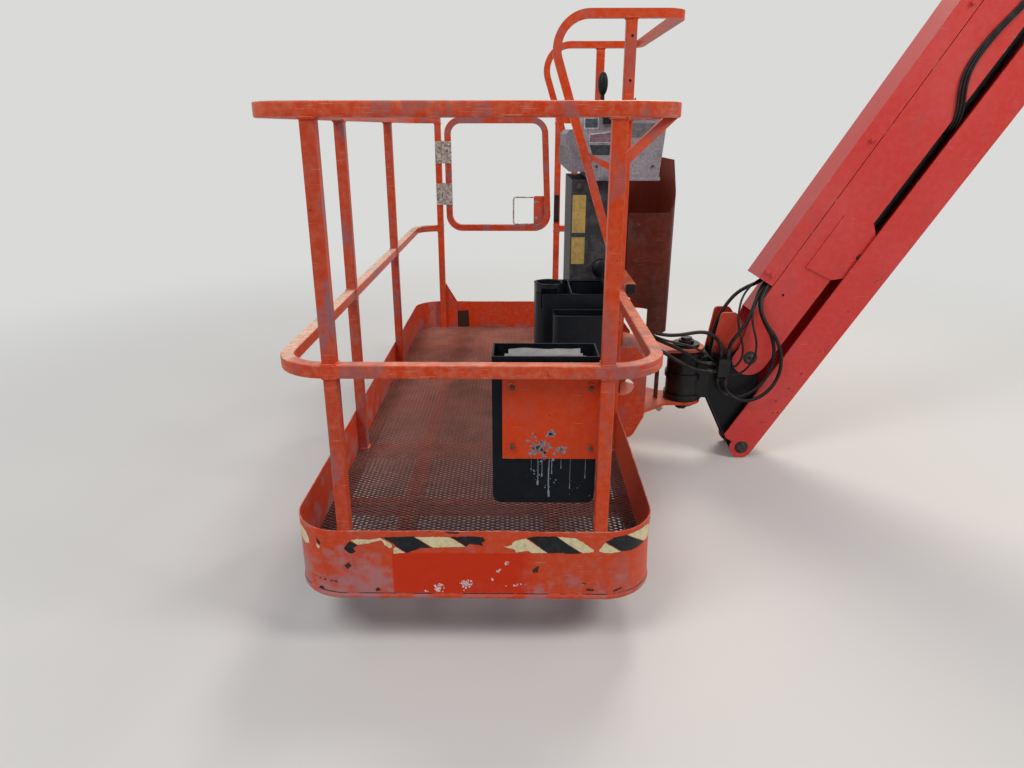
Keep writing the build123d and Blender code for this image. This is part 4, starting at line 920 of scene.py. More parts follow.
latch_low, latch_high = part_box("gate_latch_plate")
latch_middle = (latch_low.x + latch_high.x) / 2
latch_bolts = [hex_bolt(Vector((latch_middle - 0.016, latch_low.y, latch_low.z + rise)), near_face, 0.010)
               for rise in (0.035, 0.115)]
finished_mesh("latch_plate_bolts", joined(latch_bolts), worn_zinc, "gate")

# Document box: black moulded polyethylene, hung behind the near rail on an orange steel
# plate with four bolts. Wall paint has run down it, and folded papers stand in its mouth.
def moulded_plastic(name, colour, dusty, rough, shine=0.25, amount=0.5):
    """Moulded plastic with a fine grain, dust in clouds and rubbed edges."""
    material, tree, shader, place = new_material(name)
    spot = place["Object"]
    clouds = add_node(tree, "TexNoise", {"Vector": spot, "Scale": 30.0, "Detail": 9.0, "Roughness": 0.7})
    dust = add_node(tree, "MapRange", {"Value": clouds, "From Min": 0.44, "From Max": 0.72,
                                       "To Max": amount})
    body = add_node(tree, "Mix", {"Factor": dust, 6: colour, 7: dusty}, data_type="RGBA")
    shape = add_node(tree, "NewGeometry")
    rounded = add_node(tree, "Bevel", {"Radius": 0.004}, samples=4)
    apart = add_node(tree, "VectorMath", {0: rounded, 1: shape.outputs["Normal"]}, operation="DOT_PRODUCT")
    edge = add_node(tree, "MapRange", {"Value": apart, "From Min": 0.985, "From Max": 0.80, "To Max": 0.55})
    rubbed = add_node(tree, "Math", {0: edge, 1: clouds}, operation="MULTIPLY")
    worn = add_node(tree, "Mix", {"Factor": rubbed, 6: body, 7: dusty}, data_type="RGBA")
    feed(tree, shader, {"Base Color": worn, "Specular IOR Level": shine})
    matt = add_node(tree, "MapRange", {"Value": dust, "To Min": rough, "To Max": 0.85})
    feed(tree, shader, {"Roughness": matt})
    # the mould's grain, drawn at 1.2 mm so that it shows
    pores = add_node(tree, "TexNoise", {"Vector": spot, "Scale": 1 / 0.0012, "Detail": 2.0})
    relief = add_node(tree, "Bump", {"Height": pores, "Strength": 0.35, "Distance": 0.0004})
    feed(tree, shader, {"Normal": relief})
    return material


box_plastic = moulded_plastic("black_moulded_polyethylene", "#040A12", "#303A46", 0.5, amount=0.15,
                              shine=0.15)
dress(box_plastic, "document_box")
# the plate is newer than the rails: its orange is clean and deep
plate_enamel = weathered_enamel("clean_orange_enamel", "#D43A04", "#CC3E10", "#D0684A", "#C8A894", "#35150E",
                                wear=0.2, scuffed=0.12)[0]
dress(plate_enamel, "document_box_plate")
box_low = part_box("document_box")[0]
plate_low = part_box("document_box_plate")[0]
box_bolts = []
for x, z in ((97, 555), (278, 553), (97, 407), (281, 403)):
    at = from_platform(x, 0, z)
    box_bolts.append(hex_bolt(Vector((at.x, plate_low.y + 0.002, at.z)), near_face, 0.011, washer=False))
dull_zinc = mottled_metal("dull_dirty_zinc", "#6E5E56", "#3E3430", "#3A2018", 0.5, 0.4, rusted=0.5)
finished_mesh("document_box_bolts", joined(box_bolts), dull_zinc, "platform")


def on_near_face(face_y):
    """A function that puts points of the platform's x and z, in millimetres, on a near face."""
    def place_on(x, z):
        at = from_platform(x, 0, z)
        return Vector((at.x, face_y, at.z))
    return place_on


on_box_plate = on_near_face(plate_low.y + 0.0037)
on_box_face = on_near_face(box_low.y - 0.0003)


def run_down(x, top, foot, width, place_on):
    """A drip of paint that ran down a face: a narrow strip with a heavier foot."""
    steps = 14
    rim = []
    drift = splash.uniform(-2.0, 2.0)
    for k in range(steps + 1):
        t = k / steps
        uneven = abs(noise.noise(Vector((x * 0.31, t * 5, 2.0))))
        half = width * (0.35 + 0.5 * uneven + (0.5 if t > 0.85 else 0))
        middle = x + drift * math.sin(t * 3)
        rim.append((middle - half, middle + half, top + (foot - top) * t))
    points = [place_on(p[0], p[2]) for p in rim] + [place_on(p[1], p[2]) for p in rim]
    faces = [(k, k + 1, steps + 2 + k, steps + 1 + k) for k in range(steps)]
    return points, faces


washed_paint, tree, shader, place = new_material("thin_bluish_white_emulsion")
streaks = add_node(tree, "Mapping", {"Vector": place["Object"], "Scale": (220, 220, 60)})
thin = add_node(tree, "TexNoise", {"Vector": streaks, "Scale": 1.0, "Detail": 5.0})
colour = add_node(tree, "Mix", {"Factor": thin, 6: "#56636E", 7: "#9AA2AA"}, data_type="RGBA")
feed(tree, shader, {"Base Color": colour, "Roughness": 0.8})
parts = []
for x, z, spread, count in ((152, 398, 8, 26), (168, 404, 9, 30), (190, 440, 6, 14), (205, 398, 7, 12),
                            (160, 425, 12, 14), (178, 385, 12, 16)):
    parts += blots(x, z, spread, count, on_box_plate, largest=4.5)
for x, top, foot, width in ((158, 371, 300, 2.2), (168, 371, 322, 1.6), (186, 371, 268, 2.6),
                            (192, 371, 330, 1.4), (214, 371, 345, 1.2), (236, 371, 290, 1.0),
                            (272, 371, 318, 1.2), (142, 371, 340, 1.0)):
    parts.append(run_down(x, top, foot, width, on_box_face))
for x, z, spread, count in ((160, 330, 10, 12), (190, 300, 12, 10), (250, 300, 14, 7)):
    parts += blots(x, z, spread, count, on_box_face, largest=2.0)
finished_mesh("paint_runs_on_document_box", joined(parts), washed_paint, "platform")

# uncoated paper that rain has stained in patches about 25 mm wide
paper = flecked_finish("weathered_uncoated_paper", "#E9E7E2", "#A4A6AA", 40.0, 8.0, 0.9)
sheets = []
leaf = random.Random(3)
for row, y in enumerate((70, 78, 92, 118)):
    left, right = 78 + leaf.uniform(0, 40), 282 - leaf.uniform(0, 24)
    top = 622 + leaf.uniform(-8, 8)
    columns = 18
    points = []
    for k in range(columns + 1):
        x = left + (right - left) * k / columns
        curl = 5 * noise.noise(Vector((x * 0.012, row * 1.7, 0)))
        for z, share in ((top + 4 * noise.noise(Vector((x * 0.02, row, 5))), 1.0), (top - 60, 0.6),
                         (top - 160, 0.2)):
            points.append(from_platform(x, y + curl * share, z))
    faces = [(a, a + 3, a + 4, a + 1) for a in range(3 * columns) if a % 3 < 2]
    sheets.append((points, faces))
finished_mesh("folded_papers", joined(sheets), paper, "platform")

# Controls: a column and a tray of dark polyethylene, and a control box of grey glass-fibre
# moulding that the sun has mottled. Its labels have long gone, so the plates are blank.
column_plastic = moulded_plastic("dark_grey_polyethylene", "#323134", "#747074", 0.55, amount=0.5)
dress(column_plastic, "control_column")
tray_plastic = moulded_plastic("black_rotomoulded_polyethylene", "#060C14", "#343C48", 0.40,
                               amount=0.12, shine=0.3)
dress(tray_plastic, "tool_tray", "front_pocket")
grip_rubber = moulded_plastic("black_soft_grip_rubber", "#0C0C0F", "#3A3638", 0.45, amount=0.3)
dress(grip_rubber, "joystick")
box_moulding, tree, shader, place = new_material("grey_glass_fibre_moulding")
speckle = add_node(tree, "TexNoise", {"Vector": place["Object"], "Scale": 130.0, "Detail": 8.0,
                                      "Roughness": 0.75})
mottle = add_node(tree, "MapRange", {"Value": speckle, "From Min": 0.40, "From Max": 0.62})
body = add_node(tree, "Mix", {"Factor": mottle, 6: "#817D84", 7: "#A6A2A8"}, data_type="RGBA")
stains = add_node(tree, "TexNoise", {"Vector": place["Object"], "Scale": 14.0, "Detail": 8.0,
                                     "Roughness": 0.7})
stained = add_node(tree, "MapRange", {"Value": stains, "From Min": 0.52, "From Max": 0.72, "To Max": 0.7})
colour = add_node(tree, "Mix", {"Factor": stained, 6: body, 7: "#46404A"}, data_type="RGBA")
feed(tree, shader, {"Base Color": colour, "Roughness": 0.8})
relief = add_node(tree, "Bump", {"Height": speckle, "Strength": 0.4, "Distance": 0.0006})
feed(tree, shader, {"Normal": relief})
dress(box_moulding, "control_box")

# near faces of the control box and of its column
on_console = on_near_face(-0.215)
on_column = on_near_face(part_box("control_column")[0].y)
label_faces = {
    "pale_edge_vinyl": ("#D9DADC", "#9A9CA2"),
    "blue_grey_vinyl": ("#4A5A68", "#2C3640"),
    "faded_pink_vinyl": ("#8A6E7A", "#5E4E5A"),
    "dark_vinyl": ("#1E2630", "#3C444E"),
    "yellowed_vinyl": ("#BFA055", "#9C8450"),
    "grey_vinyl": ("#55555A", "#77757A"),
}
label_materials = {}
for name, (clean, worn_away) in label_faces.items():
    film, tree, shader, place = new_material(name + "_film")
    grime = add_node(tree, "TexNoise", {"Vector": place["Object"], "Scale": 70.0, "Detail": 8.0,
                                        "Roughness": 0.7})
    patchy = add_node(tree, "MapRange", {"Value": grime, "From Min": 0.42, "From Max": 0.64})
    colour = add_node(tree, "Mix", {"Factor": patchy, 6: clean, 7: worn_away}, data_type="RGBA")
    feed(tree, shader, {"Base Color": colour})
    gloss = add_node(tree, "MapRange", {"Value": grime, "To Min": 0.25, "To Max": 0.6})
    feed(tree, shader, {"Roughness": gloss})
    label_materials[name] = film

# blank plates on the near end: face, outline in x and z, film, and how thick with what is under it
plate_table = [
    ("console_plate_edge", on_console, [(325, 1111), (373, 1111), (373, 1146), (325, 1146)],
     "pale_edge_vinyl", 0.6),
    ("console_plate_glossy", on_console, [(328, 1114), (370, 1114), (370, 1143), (328, 1143)],
     "blue_grey_vinyl", 1.0),
    ("console_strip_edge", on_console, [(343, 1067), (428, 1067), (428, 1103), (343, 1095)],
     "pale_edge_vinyl", 0.6),
    ("console_strip", on_console, [(345, 1069), (426, 1069), (426, 1100), (345, 1092)], "faded_pink_vinyl",
     1.0),
    ("console_wedge", on_console, [(356, 1028), (412, 1028), (421, 1060), (346, 1060)], "dark_vinyl", 0.8),
    ("console_plate_right", on_console, [(485, 1084), (556, 1084), (560, 1128), (485, 1128)], "grey_vinyl",
     0.8),
    ("column_strip", on_column, [(296, 658), (342, 658), (342, 896), (296, 896)], "yellowed_vinyl", 0.5),
    ("column_strip_gap", on_column, [(296, 752), (342, 752), (342, 768), (296, 768)], "dark_vinyl", 0.8),
    ("column_label_edge", on_column, [(309, 509), (344, 515), (340, 601), (305, 595)], "pale_edge_vinyl",
     0.4),
    ("column_label", on_column, [(311, 512), (341, 517), (338, 598), (308, 593)], "grey_vinyl", 0.7),
]
for name, place_on, outline, film, thick in plate_table:
    plate = slab([place_on(x, z) for x, z in outline], near_face, thick / 1000)
    finished_mesh(name, plate, label_materials[film], "platform")

# switch block, knob, and the seam of the box's lid with its screws
block_rim = [on_console(x, z) for x, z in ((386, 1126), (424, 1126), (424, 1148), (386, 1148))]
switch_block = slab(block_rim, near_face, 0.016, edge=0.002)
finished_mesh("switch_block", switch_block, grip_rubber, "platform")
knob = turned(on_column(403, 645), near_face, [(0, 0.030), (0.004, 0.032), (0.010, 0.033), (0.018, 0.031),
                                               (0.023, 0.024), (0.025, 0.012), (0.0255, 0.002)], 28)
finished_mesh("column_knob", knob, tray_plastic, "platform")
console_screws = [hex_bolt(on_console(x, z), near_face, 0.009, washer=False)
                  for x, z in ((372, 992), (560, 992), (470, 1160), (575, 1100), (350, 1010))]
console_screws += [hex_bolt(on_column(x, z), near_face, 0.010)
                   for x, z in ((318, 480), (430, 480), (318, 925), (430, 925))]
finished_mesh("controls_screws", joined(console_screws), dull_zinc, "platform")

# Top panel: switches under rubber boots, a keyed knob and a red stop button, set in a
# blank plate on the slope of the control box. Their kind is generic.
slope_foot = from_platform(338, 0, 1150)
slope_head = from_platform(570, 0, 1184)
slope = (slope_head - slope_foot).normalized()
face_up = Vector((-slope.z, 0, slope.x))


def on_top_panel(along, y, lift=0.0):
    """A point on the sloping top: distance up the slope, and place along the box."""
    at = slope_foot + slope * along
    return Vector((at.x, y, at.z)) + face_up * lift


panel_rim = [on_top_panel(0.012, -0.195, 0.0004), on_top_panel(0.215, -0.195, 0.0004),
             on_top_panel(0.215, 0.195, 0.0004), on_top_panel(0.012, 0.195, 0.0004)]
panel = slab(panel_rim, face_up, 0.0015)
finished_mesh("top_panel_plate", panel, label_materials["grey_vinyl"], "platform")
toggles = []
boots = []
for along, y in ((0.06, -0.02), (0.06, 0.03), (0.06, 0.08), (0.06, 0.13), (0.13, -0.02), (0.13, 0.03),
                 (0.13, 0.08), (0.18, -0.02), (0.18, 0.03)):
    foot = on_top_panel(along, y, 0.0018)
    boots.append(turned(foot, face_up, [(0, 0.010), (0.002, 0.0105), (0.006, 0.008), (0.012, 0.0045),
                                        (0.013, 0.002)]))
    lean = (face_up + slope * 0.35).normalized()
    toggles.append(turned(foot + face_up * 0.010, lean, [(0, 0.0025), (0.012, 0.0028), (0.020, 0.0038),
                                                         (0.024, 0.0030), (0.0255, 0.0008)], 14))
finished_mesh("switch_boots", joined(boots), grip_rubber, "platform")
finished_mesh("switch_levers", joined(toggles), worn_zinc, "platform")
stop_red = moulded_plastic("red_phenolic_button", "#B01712", "#7A4A44", 0.35, amount=0.25, shine=0.5)
button = turned(on_top_panel(0.15, 0.14, 0.0018), face_up,
                [(0, 0.014), (0.012, 0.014), (0.014, 0.019), (0.022, 0.020), (0.027, 0.017), (0.029, 0.009),
                 (0.0295, 0.001)], 28)
finished_mesh("stop_button", button, stop_red, "platform")
selector = turned(on_top_panel(0.17, -0.08, 0.0018), face_up,
                  [(0, 0.016), (0.003, 0.016), (0.004, 0.012), (0.016, 0.011), (0.018, 0.009),
                   (0.0185, 0.001)])
finished_mesh("selector_knob", selector, grip_rubber, "platform")

# Tray rims: the moulding's mouth is rolled outwards into a bead about 7 mm thick, which
# stiffens it. The cup stands higher, and its rim is rolled the same way.
def rolled_rim(outline, radius, closed=True):
    """A round bead along an outline of points."""
    count = len(outline)
    rise = Vector((0, 0, 1))
    turns = [k * math.pi / 4 for k in range(8)]
    points = []
    for i, here in enumerate(outline):
        before = outline[i - 1] if closed or i else here
        after = outline[(i + 1) % count] if closed or i < count - 1 else here
        way = (after - before).normalized()
        side = Vector((-way.y, way.x, 0))
        points += [here + (side * math.cos(t) + rise * math.sin(t)) * radius for t in turns]
    return points, rings_to_faces(count, 8, closed=closed)


def rounded_outline(x0, y0, x1, y1, radii, z):
    """A level rectangle whose four corners have their own radii, from the near left one round."""
    corners = ((x0, y0, math.pi), (x1, y0, -math.pi / 2), (x1, y1, 0), (x0, y1, math.pi / 2))
    outline = []
    for (x, y, start), radius in zip(corners, radii):
        middle = Vector((x + (radius if x == x0 else -radius), y + (radius if y == y0 else -radius), z))
        turns = [start + k * math.pi / 12 for k in range(7)]
        outline += [middle + Vector((math.cos(t), math.sin(t), 0)) * radius for t in turns]
    return outline


tray_low, tray_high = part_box("tool_tray")
pocket_low, pocket_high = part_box("front_pocket")
tray_mouth = -1.120616
cup_middle = Vector((tray_low.x + 0.046, tray_low.y + 0.046, tray_high.z))
# the cup stands in the tray's near left corner, so the tray's rim is open there
tray_rim = rounded_outline(tray_low.x + 0.002, tray_low.y + 0.002, tray_high.x - 0.002, tray_high.y - 0.004,
                           (0.028, 0.004, 0.004, 0.028), tray_mouth)[7:]
pocket_rim = rounded_outline(pocket_low.x + 0.002, pocket_low.y + 0.002, pocket_high.x - 0.002,
                             pocket_high.y - 0.002, (0.020, 0.020, 0.004, 0.004), pocket_high.z)
cup_rim = [cup_middle + Vector((math.cos(k * math.pi / 20), math.sin(k * math.pi / 20), 0)) * 0.043
           for k in range(40)]
divider = [Vector((tray_low.x + 0.120, y, tray_mouth))
           for y in (tray_low.y + 0.006, tray_low.y + 0.06, tray_low.y + 0.12, tray_high.y - 0.006)]
rims = [rolled_rim(tray_rim, 0.0036, closed=False), rolled_rim(pocket_rim, 0.0036),
        rolled_rim(cup_rim, 0.0034), rolled_rim(divider, 0.003, closed=False)]
finished_mesh("tray_rolled_rims", joined(rims), tray_plastic, "platform")

# Hose guard: a steel sheet rolled round the back of the controls, painted on both sides.
# Its outside carries painted shade, a dark red-brown, and its inside keeps its red.
# the dark reds given here are painted shade on the outside of the guard
guard_shade_enamel, tree, shader, paint, place = weathered_enamel(
    "painted_shade_guard_enamel", "#5A2014", "#42201A", "#7A483C", "#8A7C74", "#1E0E0C", scuff="#5E4844", wear=0.6,
    scuffed=0.4, shine=0.12)
shell_low, shell_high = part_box("hose_guard")
shell_axis = (shell_low.x, 0, (shell_low.z + shell_high.z) / 2)
from_axis = add_node(tree, "VectorMath", {0: place["Object"], 1: shell_axis}, operation="SUBTRACT")
flat = add_node(tree, "VectorMath", {0: from_axis, 1: (1, 1, 0)}, operation="MULTIPLY")
inward = add_node(tree, "VectorMath", {0: flat, 1: place["Normal"]}, operation="DOT_PRODUCT")
inner_side = add_node(tree, "MapRange", {"Value": inward, "From Min": 0.0, "From Max": -0.02})
finish = add_node(tree, "Mix", {"Factor": inner_side, 6: paint, 7: "#C4604C"}, data_type="RGBA")
feed(tree, shader, {"Base Color": finish})
dress(guard_shade_enamel, "hose_guard")
guard_bolts = []
for level in (-0.93, -1.05, -1.15):
    for y, along in ((shell_low.y, near_face), (shell_high.y, -near_face)):
        guard_bolts.append(hex_bolt(Vector((shell_low.x + 0.03, y, level)), along, 0.012))
finished_mesh("hose_guard_bolts", joined(guard_bolts), guard_shade_enamel, "platform")

# Support rail: 32 mm square steel tube on the outside of the tall posts, held off them by
# 6 mm plates. Its open ends are shut with plugs of black moulded rubber.
support_low, support_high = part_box("support_rail")
plugs = []
for y, way in ((support_low.y, -1), (support_high.y, 1)):
    middle = Vector((support_high.x - tube / 2, y, (support_low.z + support_high.z) / 2))
    outline = [middle + Vector((x, 0, z)) for x, z in square_section(0.031, 0.004)]
    plugs.append(slab(outline, Vector((0, way, 0)), 0.004, edge=0.0015))
finished_mesh("support_rail_plugs", joined(plugs), grip_rubber, "platform")

# Rotator: a hydraulic turning motor of cast iron on a through shaft, between two steel
# tongues. All of it is sprayed black and wet with oil and dirt; a ring of screws holds
# its head, and a strut of bare rusty flat bar ties the tongues.
def oily_black(name, paint, grime, rough):
    """Black paint under oil and dust."""
    material, tree, shader, place = new_material(name)
    spot = place["Object"]
    clouds = add_node(tree, "TexNoise", {"Vector": spot, "Scale": 42.0, "Detail": 8.0, "Roughness": 0.7})
    dirty = add_node(tree, "MapRange", {"Value": clouds, "From Min": 0.46, "From Max": 0.70,
                                        "To Max": 0.75})
    body = add_node(tree, "Mix", {"Factor": dirty, 6: paint, 7: grime}, data_type="RGBA")
    feed(tree, shader, {"Base Color": body})
    matt = add_node(tree, "MapRange", {"Value": dirty, "To Min": rough, "To Max": 0.8})
    feed(tree, shader, {"Roughness": matt, "Specular IOR Level": 0.35})
    # a cast skin with grains about 3 mm across
    cast = add_node(tree, "TexNoise", {"Vector": spot, "Scale": 330.0, "Detail": 3.0})
    relief = add_node(tree, "Bump", {"Height": cast, "Strength": 0.45, "Distance": 0.0008})
    feed(tree, shader, {"Normal": relief})
    return material


oily_paint = oily_black("oily_black_enamel", "#06080D", "#2E2A26", 0.32)
dress(oily_paint, "rotator_housing", "rotator_shaft", "valve_block")
satin_black = oily_black("satin_black_enamel", "#0A0C10", "#34302C", 0.45)
dress(satin_black, "lift_barrel", "gate_catch")
strut_rust = mottled_metal("rusty_flat_bar", "#7A4630", "#46261A", "#2A1612", 0.7, 0.15, rusted=1.0)
dress(strut_rust, "tongue_strut")
housing_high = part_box("rotator_housing")[1]
shaft_low, shaft_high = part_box("rotator_shaft")
turn_axis = Vector(((shaft_low.x + shaft_high.x) / 2, 0, 0))
up = Vector((0, 0, 1))
motor_screws = []
for k in range(12):
    angle = 2 * math.pi * k / 12 + 0.13
    at = turn_axis + Vector((math.cos(angle), math.sin(angle), 0)) * 0.063
    if at.x < housing_high.x - 0.02:
        motor_screws.append(turned(Vector((at.x, at.y, housing_high.z)), up,
                                   [(0, 0.006), (0.003, 0.006), (0.0036, 0.0054), (0.0036, 0.001)], 14))
finished_mesh("rotator_head_screws", joined(motor_screws), oily_paint, "front_link")
tongue_bolts = []
upper_low, upper_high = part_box("upper_tongue")
lower_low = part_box("lower_tongue")[0]
for level, along in ((upper_high.z, up), (lower_low.z, -up)):
    for dx in (0.06, 0.20):
        for y in (-0.12, 0.12):
            reach = 1 - dx * 0.9
            tongue_bolts.append(hex_bolt(Vector((upper_low.x + dx, y * reach, level)), along, 0.016))
finished_mesh("tongue_bolts", joined(tongue_bolts), worn_zinc, "platform")

# Jib: welded steel boxes and channels with pins of hardened steel. The arms are sprayed in
# a redder enamel, still glossy because they sit high, with grease at the pins; the front
# link's enamel turns near black towards its foot.
arm_enamel = weathered_enamel("red_orange_arm_enamel", "#CE3630", "#D04440", "#E08A82", "#C9B4AC", "#33140F",
                              scuff="#A84A50", gloss=0.34, wear=0.1, scuffed=0.25, shine=0.4, cloudy=0.12)[0]
dress(arm_enamel, "upper_arm", "arm_cover", "belly_plates", "lower_arm", "rear_link")
link_enamel, tree, shader, paint, place = weathered_enamel(
    "link_enamel_black_below", "#C8381C", "#B83A26", "#B06A58", "#8A7A70", "#1E0E0C", wear=0.4, shine=0.3)
# below about z -1.49, along a ragged line, the front link's enamel turns near black
where = add_node(tree, "SeparateXYZ", {0: place["Object"]}).outputs
swirl = add_node(tree, "TexNoise", {"Vector": place["Object"], "Scale": 18.0, "Detail": 7.0,
                                    "Roughness": 0.65})
uneven = add_node(tree, "Math", {0: swirl, 1: 0.16}, operation="MULTIPLY")
height = add_node(tree, "Math", {0: where["Z"], 1: uneven}, operation="SUBTRACT")
black_below = add_node(tree, "MapRange", {"Value": height, "From Min": -1.475, "From Max": -1.515})
colour = add_node(tree, "Mix", {"Factor": black_below, 6: paint, 7: "#07080C"}, data_type="RGBA")
feed(tree, shader, {"Base Color": colour})
dress(link_enamel, "front_link")
pin_steel = mottled_metal("greased_pin_steel", "#6A6460", "#2A2624", "#3A2218", 0.35, 0.8, rusted=0.6)
dress(pin_steel, "belly_pin", "front_lower_pin", "front_upper_pin", "lift_eye_pin", "rear_lower_pin",
      "rear_upper_pin")
chrome, tree, shader, place = new_material("hard_chromed_rod")
# ground across the rod: rings about 0.4 mm apart, drawn at 1.5 mm
rings = add_node(tree, "TexNoise", {"Vector": place["Object"], "Scale": 650.0, "Detail": 2.0})
film = add_node(tree, "TexNoise", {"Vector": place["Object"], "Scale": 25.0, "Detail": 5.0})
colour = add_node(tree, "Mix", {"Factor": film, 6: "#D4D6D8", 7: "#8E8A84"}, data_type="RGBA")
feed(tree, shader, {"Base Color": colour, "Metallic": 1.0})
matt = add_node(tree, "MapRange", {"Value": rings, "To Min": 0.12, "To Max": 0.32})
feed(tree, shader, {"Roughness": matt})
dress(chrome, "lift_rod")

# Pin ends: each jib pin has a thin steel cap on either end, held by one screw in its
# middle, and a ring of old black grease round it.
grease, tree, shader, place = new_material("old_black_grease")
lumps = add_node(tree, "TexNoise", {"Vector": place["Object"], "Scale": 220.0, "Detail": 4.0})
colour = add_node(tree, "Mix", {"Factor": lumps, 6: "#050505", 7: "#241C16"}, data_type="RGBA")
feed(tree, shader, {"Base Color": colour, "Roughness": 0.3})
relief = add_node(tree, "Bump", {"Height": lumps, "Strength": 0.8, "Distance": 0.001})
feed(tree, shader, {"Normal": relief})
# pin, body, radius of the pin
pin_table = [
    ("front_upper_pin", "upper_arm", 0.020), ("front_lower_pin", "lower_arm", 0.020),
    ("rear_upper_pin", "rear_link", 0.020), ("rear_lower_pin", "rear_link", 0.020),
]
for name, body, radius in pin_table:
    low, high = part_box(name)
    middle = (low + high) / 2
    smears = []
    caps = []
    for y, along in ((low.y, near_face), (high.y, -near_face)):
        centre = Vector((middle.x, y, middle.z))
        foot = centre - along * 0.0029
        smears.append(turned(foot, along, [(0, radius + 0.007), (0.0016, radius + 0.005),
                                           (0.0024, radius + 0.001), (0.0026, radius - 0.001)], 28))
        caps.append(turned(centre, along, [(0, radius - 0.002), (0.0004, radius - 0.0024), (0.0006, 0.009),
                                           (0.0006, 0.007), (-0.003, 0.006)], 28))
        caps.append(turned(centre - along * 0.003, along, [(0, 0.0045), (0.0032, 0.0045), (0.0036, 0.003),
                                                           (0.0037, 0.0005)], 14))
    finished_mesh(name + "_grease", joined(smears), grease, body)
    finished_mesh(name + "_ends", joined(caps), pin_steel, body)

# Bolts on the jib: on each side two hold the foot of the hose cover and three more stand
# along it, hex heads sprayed over with the arm. Below them are two drain holes of 10 mm,
# drawn as flat discs of painted shade.
jib_angle = math.radians(59)
along_jib = Vector((math.cos(jib_angle), 0, math.sin(jib_angle)))
over_jib = Vector((-math.sin(jib_angle), 0, math.cos(jib_angle)))
pivot = Vector((-1.13252, 0, -1.448616))
arm_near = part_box("upper_arm")[0].y
arm_bolts = []
for along, over in ((0.300, 0.125), (0.300, 0.150), (0.86, 0.125), (1.36, 0.125), (1.66, 0.125)):
    for y, way in ((arm_near, -1), (-arm_near, 1)):
        at = pivot + along_jib * along + over_jib * over
        arm_bolts.append(hex_bolt(Vector((at.x, y, at.z)), Vector((0, way, 0)), 0.013))
finished_mesh("arm_bolts", joined(arm_bolts), arm_enamel, "upper_arm")
arm_holes = []
for along, over in ((0.262, 0.046), (1.52, 0.046)):
    for y, way in ((arm_near, -1), (-arm_near, 1)):
        at = pivot + along_jib * along + over_jib * over
        arm_holes.append(disc(Vector((at.x, y + way * 0.0003, at.z)), Vector((0, way, 0)), 0.005))
finished_mesh("arm_drain_holes", joined(arm_holes), hole_shade, "upper_arm")

# Dirt on the lower arm: flecks of tar and mud, thrown up along its near side and dried
# hard and nearly black. Each is a flat blot that lies within the arm's own side.
tar = flecked_finish("dried_tar_and_mud", "#120A08", "#4A3428", 400.0, 4.0, 0.85)
on_lower_arm = on_near_face(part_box("lower_arm")[0].y - 0.0004)
lower_pin_low, lower_pin_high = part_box("front_lower_pin")
lower_pin_middle = (lower_pin_low + lower_pin_high) / 2
flecks = []
for x, z, spread, count in ((1213, 213, 3, 4), (1127, 96, 4, 5), (1121, 49, 3, 3), (1140, 30, 10, 7),
                            (1290, 300, 14, 5), (1360, 430, 20, 5), (1450, 570, 20, 5), (1190, 150, 12, 6),
                            (1085, 12, 8, 5)):
    flecks += [fleck for fleck in blots(x, z, spread, count, on_lower_arm, largest=3.0)
               if -0.041 < (fleck[0][-1] - lower_pin_middle).dot(over_jib) < 0.085]
finished_mesh("flecks_on_lower_arm", joined(flecks), tar, "lower_arm")

# Cylinder: the gland nut at the barrel's open end and the two hose ports on its underside,
# turned from steel and sprayed with the barrel's satin black.
cylinder_line = pivot - over_jib * 0.105
gland_at = cylinder_line + along_jib * 1.562
gland = [turned(gland_at, along_jib, [(0, 0.0302), (0.003, 0.0318), (0.014, 0.0318), (0.016, 0.030)], 12),
         turned(gland_at - along_jib * 0.97, -over_jib, [(0, 0.014), (0.030, 0.014), (0.034, 0.012),
                                                          (0.034, 0.002)], 6),
         turned(gland_at - along_jib * 0.06, -over_jib, [(0, 0.014), (0.038, 0.014), (0.042, 0.012),
                                                         (0.042, 0.002)], 6)]
finished_mesh("cylinder_gland", joined(gland), satin_black, "upper_arm")

# Hoses: rubber hydraulic hoses with a cloth-marked cover, clamped under the arm's cover
# and at the control column, screwed to the ports of the valve block. They are held at
# both ends.
hose_diameter = 0.014
web_rest = -9.7
top_port = 20.3
foot_port = -78.3
side_port = -147.3
column_face = -552.7
arm_routes = [
    [
        (79.5, 16, 337.6), (58, 16, 306), (26, 15, 280), (-15, 12, 264), (-57, 6, 240),
        (-93, -3, 200), (-120, -10, 150), (-136, -13, 96), (-142, -14, 42), (-142, -14, web_rest),
    ],
    [
        (79.5, -5, 337.6), (58, -5, 306), (34, -17, 276), (12, -42, 248), (-7, -70, 214),
        (-25, -92, 176), (-46, -103, 138), (-69, -106, 104), (-87, -102, 74), (-95, -98, 46),
        (-95, -98, top_port),
    ],
    [
        (79.5, -46, 337.6), (58, -49, 306), (28, -65, 270), (6, -95, 232), (7, -118, 187),
        (30, -130, 144), (64, -133, 104), (88, -133, 56), (100, -132, 4), (98, -131, -48),
        (80, -129, -96), (48, -126, -134), (12, -121, -156), (-25, -114, -162), (-56, -107, -153),
        (-82, -101, -133), (-95, -98, -106), (-95, -98, foot_port),
    ],
    [
        (79.5, -26, 337.6), (58, -28, 306), (29, -44, 270), (8, -75, 230), (10, -99, 186),
        (30, -111, 144), (58, -114, 100), (74, -114, 46), (74, -112, -10), (60, -109, -62),
        (34, -104, -106), (0, -98, -138), (-36, -91, -156), (-70, -85, -157), (-99, -79, -140),
        (-117, -76, -111), (-117, -76, foot_port),
    ],
]
